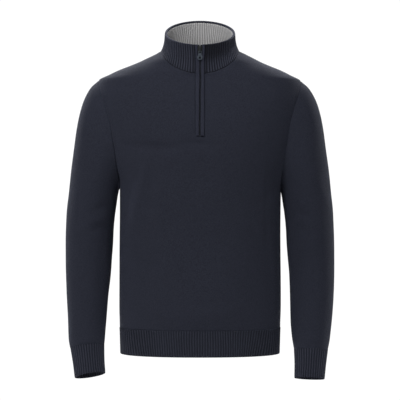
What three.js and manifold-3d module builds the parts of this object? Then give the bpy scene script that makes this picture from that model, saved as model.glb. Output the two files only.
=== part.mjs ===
// Quarter zip sweater, worn size M, hollow as if filled out by a wearer.
// Millimetres, +Z up, front towards -Y, +X to the wearer's left.
// The origin is the middle of the neck base, level with the top of the shoulders.
import * as THREE from 'three';
import Module from 'manifold-3d';
import { mergeVertices } from 'three/addons/utils/BufferGeometryUtils.js';

const wasm = await Module();
wasm.setup();

// Cloth and seams
const JERSEY_WALL = 2.2;
const SEAM_GAP = 0.3;
const RIB_WALL = 1.9;
const RIB_RISE = 0.7;
const RIB_PITCH = 5.6;

// Heights of the main seams
const HEM_SEAM = -613;
const HEM_EDGE = -670;
const ARMPIT = -300;
const SHOULDER_TIP = -60;
const NECK_FRONT = -51;
const NECK_SIDE = 5.6;
const NECK_BACK = 15;
const SLIT_END = -189.3;

// The body is a stack of rounded sections: half width, and depth to the front and to the back.
const SECTION_POWER = 2.3;
const BODY_SECTIONS = [
  { z: -670, half: 178, front: 117, back: 109 },
  { z: -613, half: 179.6, front: 118, back: 110 },
  { z: -560, half: 181, front: 120, back: 107 },
  { z: -450, half: 180.3, front: 120, back: 105 },
  { z: -300, half: 180, front: 127, back: 112 },
  { z: -250, half: 196, front: 127, back: 115 },
  { z: -212, half: 208, front: 125, back: 118 },
  { z: -186, half: 217, front: 122, back: 117 },
  { z: -157, half: 223, front: 118, back: 115 },
  { z: -131, half: 230, front: 112, back: 112 },
  { z: -98, half: 234, front: 104, back: 105 },
  { z: -76, half: 231, front: 97, back: 97 },
  { z: -60, half: 226, front: 91, back: 92 },
  { z: -48, half: 203.5, front: 87, back: 88 },
  { z: -38, half: 183, front: 82, back: 85 },
  { z: -29, half: 161, front: 78, back: 82.5 },
  { z: -20, half: 139.5, front: 75, back: 80 },
  { z: -11, half: 121, front: 69, back: 77 },
  { z: -4, half: 106, front: 64, back: 74 },
  { z: 5.6, half: 87.3, front: 60, back: 71 },
  { z: 10, half: 81, front: 58, back: 69.5 },
  { z: 15, half: 75, front: 56, back: 68 },
];

// Armhole: an upright oval drawn round the shoulder
const ARMHOLE_MIDDLE = (SHOULDER_TIP + ARMPIT) / 2;
const ARMHOLE_HALF_HEIGHT = (SHOULDER_TIP - ARMPIT) / 2;
const ARMHOLE_HALF_DEPTH = 64;

// Rows and columns of the panel grids
const ROWS_BELOW_ARMPIT = 6;
const ROWS_TO_SLIT = 3;
const ROWS_BESIDE_SLIT = 3;
const ROWS_ALONG_NECK = 6;
const ROWS_ABOVE_ARMPIT = ROWS_TO_SLIT + ROWS_BESIDE_SLIT + ROWS_ALONG_NECK;
const PANEL_ROWS = ROWS_BELOW_ARMPIT + ROWS_ABOVE_ARMPIT;
const PANEL_COLUMNS = 12;

// Zip opening in the front panel and in the collar
const SLIT_HALF = 9.2;
const SLIT_HALF_AT_RIM = 11.3;

// Collar
const NECK_HALF = 87.3;
const FRONT_SCOOP_POWER = 1.6;
const RIM_HALF = 78.5;
const RIM_MIDDLE_Y = -10;
const RIM_HALF_DEPTH = 70;
const RIM_MIDDLE_Z = 47.5;
const RIM_RISE_TO_BACK = 33.5;
const COLLAR_WALL = 2.3;
const COLLAR_FLARE_POWER = 1.1;
const COLLAR_RIBS = 84;
const ROLL_DEPTH = 5.2;
const ROLL_HEIGHT = 4;
const ROLL_EDGE = 1.1;
const COLLAR_LAYER_GAP = 0.7;
const INNER_COLLAR_WALL = 1.6;
const INNER_RIB_RISE = 0.6;

// Sleeve: rings that run from an outer point to an inner point and lean forward towards the cuff.
const SLEEVE_RINGS = 18;
const UPPER_SLEEVE = [
  { outerX: 226, outerZ: -60, innerX: 181, innerZ: -300, depth: 64, middleY: 0, lean: 0 },
  { outerX: 243.5, outerZ: -75, innerX: 181.5, innerZ: -303, depth: 64.5, middleY: 1, lean: 0 },
  { outerX: 260, outerZ: -104, innerX: 182.5, innerZ: -306, depth: 65, middleY: 2, lean: 0 },
  { outerX: 269.8, outerZ: -135, innerX: 183.3, innerZ: -311, depth: 66, middleY: 3, lean: 0 },
  { outerX: 277, outerZ: -170, innerX: 184.8, innerZ: -320, depth: 67, middleY: 4, lean: 0 },
  { outerX: 283.5, outerZ: -215, innerX: 187, innerZ: -337, depth: 67.5, middleY: 5.5, lean: 0 },
  { outerX: 290, outerZ: -262, innerX: 190.4, innerZ: -362, depth: 66.5, middleY: 7, lean: 0 },
  { outerX: 295, outerZ: -310, innerX: 193.3, innerZ: -392, depth: 64.5, middleY: 8, lean: 1 },
  { outerX: 300.3, outerZ: -360, innerX: 195, innerZ: -425, depth: 62, middleY: 8, lean: 3 },
  { outerX: 302, outerZ: -418, innerX: 197.5, innerZ: -458, depth: 59, middleY: 5, lean: 6 },
];
const RIGHT_FOREARM = [
  { outerX: 301.5, outerZ: -470, innerX: 200, innerZ: -496, depth: 55, middleY: 0, lean: 9 },
  { outerX: 298.5, outerZ: -530, innerX: 204.8, innerZ: -540, depth: 50, middleY: -9, lean: 11 },
  { outerX: 293.5, outerZ: -590, innerX: 208.2, innerZ: -592, depth: 45, middleY: -21, lean: 12.5 },
  { outerX: 291, outerZ: -636, innerX: 211, innerZ: -632, depth: 40, middleY: -32, lean: 13.5 },
  { outerX: 287.8, outerZ: -657, innerX: 212.4, innerZ: -649, depth: 37, middleY: -37, lean: 14 },
];
const LEFT_FOREARM = [
  { outerX: 301, outerZ: -470, innerX: 200.5, innerZ: -496, depth: 55, middleY: 0, lean: 9 },
  { outerX: 298.5, outerZ: -530, innerX: 201.5, innerZ: -544, depth: 50, middleY: -9, lean: 10 },
  { outerX: 294, outerZ: -592, innerX: 202, innerZ: -598, depth: 45, middleY: -21, lean: 10.5 },
  { outerX: 288.3, outerZ: -640, innerX: 205.7, innerZ: -641, depth: 40, middleY: -32, lean: 10.5 },
  { outerX: 284.2, outerZ: -661, innerX: 208.5, innerZ: -659, depth: 37, middleY: -37, lean: 10.5 },
];
const RIGHT_CUFF = [
  { outerX: 287, outerZ: -657.4, innerX: 213.2, innerZ: -649.4, depth: 36.4, middleY: -37.1, lean: 14 },
  { outerX: 281, outerZ: -690, innerX: 212.4, innerZ: -680, depth: 34, middleY: -43.5, lean: 14.5 },
  { outerX: 276.7, outerZ: -721, innerX: 210, innerZ: -710, depth: 33, middleY: -49, lean: 14.5 },
];
const LEFT_CUFF = [
  { outerX: 283.4, outerZ: -661.4, innerX: 209.3, innerZ: -659.4, depth: 36.4, middleY: -37.1, lean: 10.5 },
  { outerX: 279, outerZ: -692, innerX: 210.2, innerZ: -690, depth: 34, middleY: -42.5, lean: 10.5 },
  { outerX: 275.2, outerZ: -724.5, innerX: 209.5, innerZ: -721.5, depth: 33, middleY: -47.5, lean: 10.5 },
];
const ARMHOLE_BLEND = 0.42;
const CUFF_RIBS = 38;
const CUFF_ROWS = 2;

// Zip: depths are measured out from the cloth's outer face
const BAND = { inner: 1.7, outer: 8.9, front: 1.8, back: -0.9, chamfer: 0.8 };
const BAND_AT_SLIDER = { inner: 5.2, outer: 11 };
const BAND_PARTS = { from: -22, to: -5 };
const ZIP_TOP = 13.4;
const ZIP_BOTTOM = -189;
const TAPE = { inner: 3.2, outer: 8.9, front: -1.2, back: -2.2 };
const CHAIN = { half: 2.9, front: -1.2, back: -2.7, top: 5 };

// Slider and its pull tab, in a frame at the pull's pivot that leans with the collar
const PIVOT_Z = -2.2;
const PIVOT_OUT = 3;
const SLIDER = { half: 4.5, top: 12.4, bottom: -4.6, corner: 1.6, frontFace: 1.9, frontBack: -0.7 };
const SLIDER_NOSE = { half: 1.5, top: 11.6, bottom: 4.2, corner: 0.6, front: 2.5 };
const SLIDER_PLATE = { front: -3.1, back: -4.3 };
const SLIDER_POST = { half: 1.2, top: 11.8, bottom: 8.8 };
const CROWN = { radius: 2.7, bar: 0.6, half: 0.8 };
const PULL = {
  thickness: 1.2,
  topHalf: 3.5,
  topRise: 0.75,
  corner: 0.7,
  waistHalf: 3.4,
  waistDrop: 5.5,
  ringHalf: 6.1,
  ringDrop: 14.6,
  length: 19.6,
  holeRadius: 2.2,
};
const PULL_EYE = { half: 1.7, top: -0.85, bottom: -4.6 };

const COLOURS = {
  navyJersey: 0x292b34,
  navyRib: 0x25272f,
  greyRib: 0x8c8c8c,
  navyBand: 0x2b2c38,
  tape: 0x23252d,
  chain: 0x1d1f24,
  metal: 0x333940,
};

// Smooth curve through named columns of a table, with no overshoot between its rows.
function columnCurve(rows, key, column) {
  const xs = rows.map((row) => key(row));
  const ys = rows.map((row) => row[column]);
  const slopes = xs.slice(1).map((x, i) => (ys[i + 1] - ys[i]) / (x - xs[i]));
  const tangents = xs.map((x, i) => {
    if (i === 0) return slopes[0];
    if (i === xs.length - 1) return slopes[slopes.length - 1];
    if (slopes[i - 1] * slopes[i] <= 0) return 0;
    return (2 * slopes[i - 1] * slopes[i]) / (slopes[i - 1] + slopes[i]);
  });
  return (x) => {
    const at = THREE.MathUtils.clamp(x, xs[0], xs[xs.length - 1]);
    const k = Math.max(xs.slice(1).findIndex((knot) => knot >= at), 0);
    const h = xs[k + 1] - xs[k];
    const t = (at - xs[k]) / h;
    const t2 = t * t;
    const t3 = t2 * t;
    return ys[k] * (2 * t3 - 3 * t2 + 1) + h * tangents[k] * (t3 - 2 * t2 + t)
      + ys[k + 1] * (3 * t2 - 2 * t3) + h * tangents[k + 1] * (t3 - t2);
  };
}

const halfWidth = columnCurve(BODY_SECTIONS, (row) => row.z, 'half');
const frontDepth = columnCurve(BODY_SECTIONS, (row) => row.z, 'front');
const backDepth = columnCurve(BODY_SECTIONS, (row) => row.z, 'back');

const lerp = THREE.MathUtils.lerp;
const degrees = THREE.MathUtils.degToRad;
const smoothstep = THREE.MathUtils.smoothstep;

// A point of the body's outer face. The turn goes from 0 at the front centre to 180 at the back.
function bodyPoint(turn, z) {
  const angle = degrees(turn);
  const across = Math.sign(Math.sin(angle)) * Math.abs(Math.sin(angle)) ** (2 / SECTION_POWER);
  const along = Math.abs(Math.cos(angle)) ** (2 / SECTION_POWER);
  const depth = Math.cos(angle) >= 0 ? -frontDepth(z) : backDepth(z);
  return new THREE.Vector3(halfWidth(z) * across, depth * along, z);
}

// The unit normal of a surface that is given by two parameters, pointing away from the axis.
function surfaceNormal(surface, u, v, du, dv) {
  const alongU = surface(u + du, v).sub(surface(u - du, v));
  const alongV = surface(u, v + dv).sub(surface(u, v - dv));
  return alongU.cross(alongV).normalize();
}

function bodyNormal(turn, z) {
  return surfaceNormal(bodyPoint, turn, z, 0.4, 0.6);
}

// The turn at which the body's section at height z reaches a given width or depth.
function turnAtWidth(x, z, back) {
  const share = Math.min(x / halfWidth(z), 1) ** (SECTION_POWER / 2);
  const turn = THREE.MathUtils.radToDeg(Math.asin(share));
  return back ? 180 - turn : turn;
}

function turnAtDepth(y, z, back) {
  const reach = back ? backDepth(z) : frontDepth(z);
  const share = Math.min(y / reach, 1) ** (SECTION_POWER / 2);
  const turn = THREE.MathUtils.radToDeg(Math.acos(share));
  return back ? 180 - turn : turn;
}

// Armhole edge on the body. The ring angle is 0 at the shoulder tip and 180 at the armpit.
function armholeTurn(ringAngle, back) {
  const z = ARMHOLE_MIDDLE + ARMHOLE_HALF_HEIGHT * Math.cos(degrees(ringAngle));
  const y = ARMHOLE_HALF_DEPTH * Math.sin(degrees(ringAngle));
  return { turn: turnAtDepth(y, z, back), z };
}

// Neckline, where the collar is sewn on. The neck angle is 0 in front, 90 at the side, 180 behind.
function neckTurn(neckAngle) {
  const angle = degrees(neckAngle);
  const back = neckAngle > 90;
  const lean = Math.abs(Math.cos(angle));
  const z = back
    ? NECK_SIDE + (NECK_BACK - NECK_SIDE) * lean ** 2
    : NECK_SIDE - (NECK_SIDE - NECK_FRONT) * lean ** FRONT_SCOOP_POWER;
  return { turn: turnAtWidth(NECK_HALF * Math.sin(angle), z, back), z };
}

const SLIT_NECK_ANGLE = THREE.MathUtils.radToDeg(Math.asin(SLIT_HALF / NECK_HALF));
const NECK_KNOTS = Array.from({ length: ROWS_ALONG_NECK + 1 }, (_, i) => (
  lerp(SLIT_NECK_ANGLE, 90, i / ROWS_ALONG_NECK)
));

// Rows of a panel: where each begins, beside the centre line, and where it ends, at the side.
function panelRows(back) {
  const middleTurn = back ? 180 : 0;
  const rows = [];
  for (let i = 0; i < ROWS_BELOW_ARMPIT; i += 1) {
    const z = lerp(HEM_SEAM, ARMPIT, i / ROWS_BELOW_ARMPIT);
    rows.push({ middle: { turn: middleTurn, z }, start: innerStart(z, back), end: { turn: 90, z } });
  }
  for (let i = 0; i <= ROWS_ABOVE_ARMPIT; i += 1) {
    const end = armholeTurn(180 * (1 - i / ROWS_ABOVE_ARMPIT), back);
    rows.push({ ...upperStart(i, back, middleTurn), end });
  }
  rows[ROWS_BELOW_ARMPIT].end = { turn: 90, z: ARMPIT };
  rows[PANEL_ROWS].end = { turn: 90, z: SHOULDER_TIP };
  return rows;
}

function innerStart(z, back) {
  return { turn: turnAtWidth(SLIT_HALF, z, back), z };
}

// Start of a row above the armpit: up the centre, beside the slit, then along the neckline.
function upperStart(i, back, middleTurn) {
  const neckRow = i - ROWS_TO_SLIT - ROWS_BESIDE_SLIT;
  if (neckRow >= 0) {
    const knot = NECK_KNOTS[neckRow];
    const start = neckTurn(back ? 180 - knot : knot);
    const middle = { turn: middleTurn, z: back ? NECK_BACK : NECK_FRONT };
    return { middle, start };
  }
  const bottom = back ? NECK_BACK : NECK_FRONT;
  const z = i <= ROWS_TO_SLIT
    ? lerp(ARMPIT, SLIT_END, i / ROWS_TO_SLIT)
    : lerp(SLIT_END, bottom, (i - ROWS_TO_SLIT) / ROWS_BESIDE_SLIT);
  return { middle: { turn: middleTurn, z }, start: innerStart(z, back) };
}

// Collects points and triangles, then gives one closed geometry whose faces point out.
class Shell {
  constructor() {
    this.positions = [];
    this.triangles = [];
    this.known = new Map();
  }

  point(owner, row, column, vector) {
    const key = `${owner}:${row}:${column}`;
    if (!this.known.has(key)) {
      this.known.set(key, this.positions.length / 3);
      this.positions.push(vector.x, vector.y, vector.z);
    }
    return this.known.get(key);
  }

  corner(index) {
    return new THREE.Vector3().fromArray(this.positions, index * 3);
  }

  fan(points) {
    for (let i = 1; i < points.length - 1; i += 1) {
      this.triangles.push(points[0], points[i], points[i + 1]);
    }
  }

  // A face of four points, split along its shorter diagonal
  quad(a, b, c, d) {
    const across = this.corner(a).distanceTo(this.corner(c));
    const other = this.corner(b).distanceTo(this.corner(d));
    this.fan(across <= other ? [a, b, c, d] : [b, c, d, a]);
  }

  volume() {
    let sum = 0;
    for (let i = 0; i < this.triangles.length; i += 3) {
      const [a, b, c] = this.triangles.slice(i, i + 3).map((index) => this.corner(index));
      sum += a.dot(b.cross(c)) / 6;
    }
    return sum;
  }

  geometry() {
    if (this.volume() < 0) this.triangles.reverse();
    const geometry = new THREE.BufferGeometry();
    geometry.setAttribute('position', new THREE.Float32BufferAttribute(this.positions, 3));
    geometry.setIndex(this.triangles);
    geometry.computeVertexNormals();
    return geometry;
  }
}

// A wall between two grids of points. The outer grid may have several columns for one inner
// column, which is how ribs stand on a plain inside. Cells for which open() is true are left out.
function wallGeometry({ outer, inner, perColumn = 1, wrap = false, open = () => false }) {
  const shell = new Shell();
  const rows = inner.length - 1;
  const columns = wrap ? inner[0].length : inner[0].length - 1;
  const outerCount = outer[0].length;
  const innerCount = inner[0].length;
  const onOuter = (row, column) => {
    const c = column % outerCount;
    return shell.point('outer', row, c, outer[row][c]);
  };
  const onInner = (row, column) => {
    const c = column % innerCount;
    return shell.point('inner', row, c, inner[row][c]);
  };
  const isOpen = (row, column) => {
    if (row < 0 || row >= rows) return true;
    if (!wrap && (column < 0 || column >= columns)) return true;
    return open(row, (column + columns) % columns);
  };
  const span = Array.from({ length: perColumn + 1 }, (_, k) => k);
  for (let row = 0; row < rows; row += 1) {
    for (let column = 0; column < columns; column += 1) {
      if (isOpen(row, column)) continue;
      const first = column * perColumn;
      for (let k = 0; k < perColumn; k += 1) {
        const c = first + k;
        shell.quad(onOuter(row, c), onOuter(row, c + 1), onOuter(row + 1, c + 1), onOuter(row + 1, c));
      }
      shell.quad(onInner(row, column), onInner(row + 1, column), onInner(row + 1, column + 1),
        onInner(row, column + 1));
      if (isOpen(row - 1, column)) {
        shell.fan([onInner(row, column), onInner(row, column + 1),
          ...span.map((k) => onOuter(row, first + perColumn - k))]);
      }
      if (isOpen(row + 1, column)) {
        shell.fan([onInner(row + 1, column), ...span.map((k) => onOuter(row + 1, first + k)),
          onInner(row + 1, column + 1)]);
      }
      if (isOpen(row, column - 1)) {
        shell.fan([onOuter(row, first), onOuter(row + 1, first), onInner(row + 1, column),
          onInner(row, column)]);
      }
      if (isOpen(row, column + 1)) {
        const last = first + perColumn;
        shell.fan([onOuter(row + 1, last), onOuter(row, last), onInner(row, column + 1),
          onInner(row + 1, column + 1)]);
      }
    }
  }
  return shell.geometry();
}

// A closed profile carried along stations, with a flat cap at each end.
function sweptGeometry(stations, profile2d) {
  const shell = new Shell();
  const count = stations[0].length;
  const at = (station, index) => {
    const i = index % count;
    return shell.point('ring', station, i, stations[station][i]);
  };
  for (let s = 0; s < stations.length - 1; s += 1) {
    for (let i = 0; i < count; i += 1) {
      shell.fan([at(s, i), at(s, i + 1), at(s + 1, i + 1), at(s + 1, i)]);
    }
  }
  const flat = profile2d.map(([x, y]) => new THREE.Vector2(x, y));
  const caps = THREE.ShapeUtils.triangulateShape(flat, []);
  const turnsLeft = THREE.ShapeUtils.area(flat) > 0;
  for (const [a, b, c] of caps) {
    const order = turnsLeft ? [c, b, a] : [a, b, c];
    const reverse = turnsLeft ? [a, b, c] : [c, b, a];
    shell.fan(order.map((i) => at(0, i)));
    shell.fan(reverse.map((i) => at(stations.length - 1, i)));
  }
  return shell.geometry();
}

// Directions in which two walls that meet at a seam take their thickness, so that they fit.
function mitre(own, other) {
  const weight = THREE.MathUtils.clamp(own.dot(other), 0, 1);
  return own.clone().addScaledVector(other, weight).normalize();
}

const SIDES = { left: 1, right: -1 };
const mirrored = (vector, side) => new THREE.Vector3(vector.x * side, vector.y, vector.z);

// Sleeve surface, drawn for +X and mirrored for the other arm
function sleeveSurface(rows) {
  const along = (row) => rows.indexOf(row) / (rows.length - 1);
  const curve = (column) => columnCurve(rows, along, column);
  const columns = {
    outerX: curve('outerX'),
    outerZ: curve('outerZ'),
    innerX: curve('innerX'),
    innerZ: curve('innerZ'),
    depth: curve('depth'),
    middleY: curve('middleY'),
    lean: curve('lean'),
  };
  return (ringAngle, s) => {
    const angle = degrees(ringAngle);
    const c = (1 + Math.cos(angle)) / 2;
    const lean = degrees(columns.lean(s));
    const reach = -columns.depth(s) * Math.sin(angle);
    return new THREE.Vector3(
      lerp(columns.innerX(s), columns.outerX(s), c),
      columns.middleY(s) + reach * Math.cos(lean),
      lerp(columns.innerZ(s), columns.outerZ(s), c) - reach * Math.sin(lean),
    );
  };
}

// The armhole edge as a point of the body, for a ring angle that runs 0 to 360, front first.
function armholePoint(ringAngle) {
  const back = ringAngle > 180;
  const { turn, z } = armholeTurn(back ? 360 - ringAngle : ringAngle, back);
  return bodyPoint(turn, z);
}

function sleeveWithCap(rows) {
  const plain = sleeveSurface(rows);
  return (ringAngle, s) => {
    const angle = ((ringAngle % 360) + 360) % 360;
    const shift = armholePoint(angle).sub(plain(angle, 0));
    const fade = 1 - smoothstep(s, 0, ARMHOLE_BLEND);
    return plain(angle, s).addScaledVector(shift, fade);
  };
}

const sleeves = {
  left: sleeveWithCap([...UPPER_SLEEVE, ...LEFT_FOREARM]),
  right: sleeveWithCap([...UPPER_SLEEVE, ...RIGHT_FOREARM]),
};

function sleeveNormal(surface, ringAngle, s) {
  const step = 0.004;
  const from = Math.max(s - step, 0);
  const to = Math.min(s + step, 1);
  const around = surface(ringAngle + 2, s).sub(surface(ringAngle - 2, s));
  const down = surface(ringAngle, to).sub(surface(ringAngle, from));
  return around.cross(down).normalize();
}

// Panels take the mitre of the sleeve at the armhole and of the collar at the neckline.
function panelGrids(back) {
  const rows = panelRows(back);
  const shiftY = (back ? 1 : -1) * SEAM_GAP / 2;
  const outer = [];
  const inner = [];
  rows.forEach((row, i) => {
    const half = [];
    const ringAngle = 180 * (1 - (i - ROWS_BELOW_ARMPIT) / ROWS_ABOVE_ARMPIT);
    for (let j = 0; j <= PANEL_COLUMNS; j += 1) {
      const t = (j - 1) / (PANEL_COLUMNS - 1);
      const turn = j === 0 ? row.middle.turn : lerp(row.start.turn, row.end.turn, t);
      const z = j === 0 ? row.middle.z : lerp(row.start.z, row.end.z, t);
      let normal = bodyNormal(turn, z);
      if (j === PANEL_COLUMNS && i >= ROWS_BELOW_ARMPIT) {
        const other = sleeveNormal(sleeves.left, back ? 360 - ringAngle : ringAngle, 0);
        normal = mitre(normal, other);
      }
      if (j === 1 && i >= PANEL_ROWS - ROWS_ALONG_NECK) {
        const knot = NECK_KNOTS[i - PANEL_ROWS + ROWS_ALONG_NECK];
        normal = mitre(normal, collarNormal(back ? 180 - knot : knot, 0));
      }
      const point = bodyPoint(turn, z).setY(bodyPoint(turn, z).y + shiftY);
      half.push({ point, normal });
    }
    const full = [
      ...half.slice(1).reverse().map(({ point, normal }) => (
        { point: mirrored(point, -1), normal: mirrored(normal, -1) })),
      ...half,
    ];
    outer.push(full.map(({ point }) => point));
    inner.push(full.map(({ point, normal }) => point.clone().addScaledVector(normal, -JERSEY_WALL)));
  });
  return { outer, inner };
}

function frontPanel() {
  const slitRow = ROWS_BELOW_ARMPIT + ROWS_TO_SLIT;
  const open = (row, column) => (
    row >= slitRow && (column === PANEL_COLUMNS - 1 || column === PANEL_COLUMNS)
  );
  return wallGeometry({ ...panelGrids(false), open });
}

function backPanel() {
  const neckRow = PANEL_ROWS - ROWS_ALONG_NECK;
  const open = (row, column) => (
    row >= neckRow && (column === PANEL_COLUMNS - 1 || column === PANEL_COLUMNS)
  );
  return wallGeometry({ ...panelGrids(true), open });
}

// Sleeve tube. Its first ring stands off the panels by the seam gap.
function sleeveTube(name) {
  const surface = sleeves[name];
  const columns = 2 * ROWS_ABOVE_ARMPIT;
  const outer = [];
  const inner = [];
  for (let ring = 0; ring <= SLEEVE_RINGS; ring += 1) {
    const s = ring / SLEEVE_RINGS;
    const outerRing = [];
    const innerRing = [];
    for (let j = 0; j < columns; j += 1) {
      const ringAngle = 360 * j / columns;
      const point = surface(ringAngle, s);
      let normal = sleeveNormal(surface, ringAngle, s);
      if (ring === 0) {
        const ahead = surface(ringAngle, 0.012).sub(point).normalize();
        const back = ringAngle > 180;
        const { turn, z } = armholeTurn(back ? 360 - ringAngle : ringAngle, back);
        normal = mitre(normal, bodyNormal(turn, z));
        point.addScaledVector(ahead, SEAM_GAP);
        point.x += SEAM_GAP;
      }
      outerRing.push(mirrored(point, SIDES[name]));
      innerRing.push(mirrored(point.clone().addScaledVector(normal, -JERSEY_WALL), SIDES[name]));
    }
    outer.push(outerRing);
    inner.push(innerRing);
  }
  return wallGeometry({ outer, inner, wrap: true });
}

// Ribbed tube below the sleeve
function cuffTube(name) {
  const surface = sleeveSurface(name === 'left' ? LEFT_CUFF : RIGHT_CUFF);
  const outer = [];
  const inner = [];
  for (let row = 0; row <= CUFF_ROWS; row += 1) {
    const s = row / CUFF_ROWS;
    const outerRing = [];
    const innerRing = [];
    for (let j = 0; j < 2 * CUFF_RIBS; j += 1) {
      const ringAngle = 180 * j / CUFF_RIBS;
      const normal = sleeveNormal(surface, ringAngle, s);
      const point = surface(ringAngle, s);
      const rise = j % 2 === 0 ? 0 : RIB_RISE;
      outerRing.push(mirrored(point.clone().addScaledVector(normal, rise), SIDES[name]));
      if (j % 2 === 0) {
        innerRing.push(mirrored(point.clone().addScaledVector(normal, -RIB_WALL), SIDES[name]));
      }
    }
    outer.push(outerRing);
    inner.push(innerRing);
  }
  return wallGeometry({ outer, inner, perColumn: 2, wrap: true });
}

// Turns of evenly spaced ribs along one half of the hem, from one side seam to the other
function hemTurns(back) {
  const samples = 400;
  const point = (turn) => bodyPoint(turn, HEM_SEAM);
  const lengths = [0];
  for (let i = 1; i <= samples; i += 1) {
    const step = point(90 * i / samples).distanceTo(point(90 * (i - 1) / samples));
    lengths.push(lengths[i - 1] + step);
  }
  const ribs = 2 * Math.round(lengths[samples] / RIB_PITCH);
  const turns = [];
  for (let j = 0; j <= 2 * ribs; j += 1) {
    const along = lengths[samples] * Math.abs(j / ribs - 1);
    const i = Math.min(lengths.findIndex((length) => length >= along - 1e-9), samples);
    const turn = 90 * i / samples;
    turns.push({ turn: back ? 180 - turn : turn, side: j < ribs ? -1 : 1 });
  }
  return turns;
}

// Ribbed band below a panel
function hemBand(back) {
  const shiftY = (back ? 1 : -1) * SEAM_GAP / 2;
  const outer = [];
  const inner = [];
  for (const z of [HEM_EDGE, HEM_SEAM - SEAM_GAP]) {
    const outerRow = [];
    const innerRow = [];
    hemTurns(back).forEach(({ turn, side }, j) => {
      const normal = bodyNormal(turn, z).setZ(0).normalize();
      const point = bodyPoint(turn, z);
      point.y += shiftY;
      const rise = j % 2 === 0 ? 0 : RIB_RISE;
      outerRow.push(mirrored(point.clone().addScaledVector(normal, rise), side));
      if (j % 2 === 0) innerRow.push(mirrored(point.clone().addScaledVector(normal, -RIB_WALL), side));
    });
    outer.push(outerRow);
    inner.push(innerRow);
  }
  return wallGeometry({ outer, inner, perColumn: 2 });
}

// Neckline as the panels' own straight stretches between their rows, so that the seam is even
function neckPoint(neckAngle) {
  const back = neckAngle > 90;
  const angle = back ? 180 - neckAngle : neckAngle;
  const shiftY = (back ? 1 : -1) * SEAM_GAP / 2;
  const knotPoint = (knot) => {
    const { turn, z } = neckTurn(back ? 180 - knot : knot);
    const point = bodyPoint(turn, z);
    point.y += shiftY * Math.min((90 - knot) / 10, 1);
    return point;
  };
  if (angle <= NECK_KNOTS[0]) {
    const start = knotPoint(NECK_KNOTS[0]);
    start.x *= Math.sin(degrees(angle)) / Math.sin(degrees(NECK_KNOTS[0]));
    return start;
  }
  const i = Math.min(NECK_KNOTS.findIndex((knot) => knot >= angle - 1e-9), ROWS_ALONG_NECK);
  const t = (angle - NECK_KNOTS[i - 1]) / (NECK_KNOTS[i] - NECK_KNOTS[i - 1]);
  return knotPoint(NECK_KNOTS[i - 1]).lerp(knotPoint(NECK_KNOTS[i]), t);
}

function rimPoint(neckAngle) {
  const angle = degrees(neckAngle);
  return new THREE.Vector3(
    RIM_HALF * Math.sin(angle),
    RIM_MIDDLE_Y - RIM_HALF_DEPTH * Math.cos(angle),
    RIM_MIDDLE_Z - RIM_RISE_TO_BACK * Math.cos(angle),
  );
}

// The collar's outer face, for a rise of 0 at the neckline and 1 at the rim
function collarPoint(neckAngle, rise) {
  const base = neckPoint(neckAngle);
  const rim = rimPoint(neckAngle);
  const inward = 1 - (1 - rise) ** COLLAR_FLARE_POWER;
  return new THREE.Vector3(
    lerp(base.x, rim.x, inward),
    lerp(base.y, rim.y, inward),
    lerp(base.z, rim.z, rise),
  );
}

function collarNormal(neckAngle, rise) {
  const low = THREE.MathUtils.clamp(rise - 0.05, 0, 0.9);
  const ahead = collarPoint(Math.min(neckAngle + 4, 180), rise);
  const around = ahead.sub(collarPoint(Math.max(neckAngle - 4, 0), rise));
  const up = collarPoint(neckAngle, low + 0.1).sub(collarPoint(neckAngle, low));
  if (neckAngle > 176) around.set(-1, 0, 0);
  return around.cross(up).normalize();
}

// Neck angle of a rib's edge: share runs from -1 at one zip edge, through the back, to 1
function collarAngle(share, rise) {
  const edge = lerp(SLIT_HALF, SLIT_HALF_AT_RIM, THREE.MathUtils.clamp(2 * rise - 1, 0, 1));
  const half = lerp(NECK_HALF, RIM_HALF, rise);
  const first = THREE.MathUtils.radToDeg(Math.asin(edge / half));
  return 180 - Math.abs(share) * (180 - first);
}

// A point in the collar, by its share round the neck, its rise and its depth in from the face
function collarPlace(share, rise, depth) {
  const angle = collarAngle(share, rise);
  let direction = collarNormal(angle, rise);
  if (rise < 0.02) {
    const { turn, z } = neckTurn(THREE.MathUtils.clamp(angle, NECK_KNOTS[0], 180 - NECK_KNOTS[0]));
    direction = mitre(direction, bodyNormal(turn, z));
  }
  const point = collarPoint(angle, rise).addScaledVector(direction, -depth);
  const up = collarPoint(angle, 1).sub(collarPoint(angle, 0)).normalize();
  if (rise < 0.02) point.addScaledVector(up, SEAM_GAP);
  return mirrored(point, share < 0 ? -1 : 1);
}

// Height of the collar at a share, which turns millimetres below the rim into a rise
function collarHeight(share) {
  const angle = collarAngle(share, 0.5);
  return collarPoint(angle, 0).distanceTo(collarPoint(angle, 1));
}

function outerCollar() {
  const stations = [];
  let profile = [];
  for (let j = 0; j <= 2 * COLLAR_RIBS; j += 1) {
    const share = j / COLLAR_RIBS - 1;
    const millimetre = 1 / collarHeight(share);
    const rib = j % 2 === 0 ? 0 : RIB_RISE;
    const face = 1 - ROLL_EDGE * millimetre;
    const roll = 1 - ROLL_HEIGHT * millimetre;
    profile = [
      { depth: -rib, rise: 0 },
      { depth: -rib, rise: 0.5 },
      { depth: -rib / 2, rise: face },
      { depth: ROLL_EDGE, rise: 1 },
      { depth: ROLL_DEPTH - ROLL_EDGE, rise: 1 },
      { depth: ROLL_DEPTH, rise: roll },
      { depth: COLLAR_WALL, rise: roll },
      { depth: COLLAR_WALL, rise: 0 },
    ];
    stations.push(profile.map(({ depth, rise }) => collarPlace(share, rise, depth)));
  }
  return sweptGeometry(stations, profile.map(({ depth, rise }) => [depth, rise * collarHeight(1)]));
}

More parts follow.
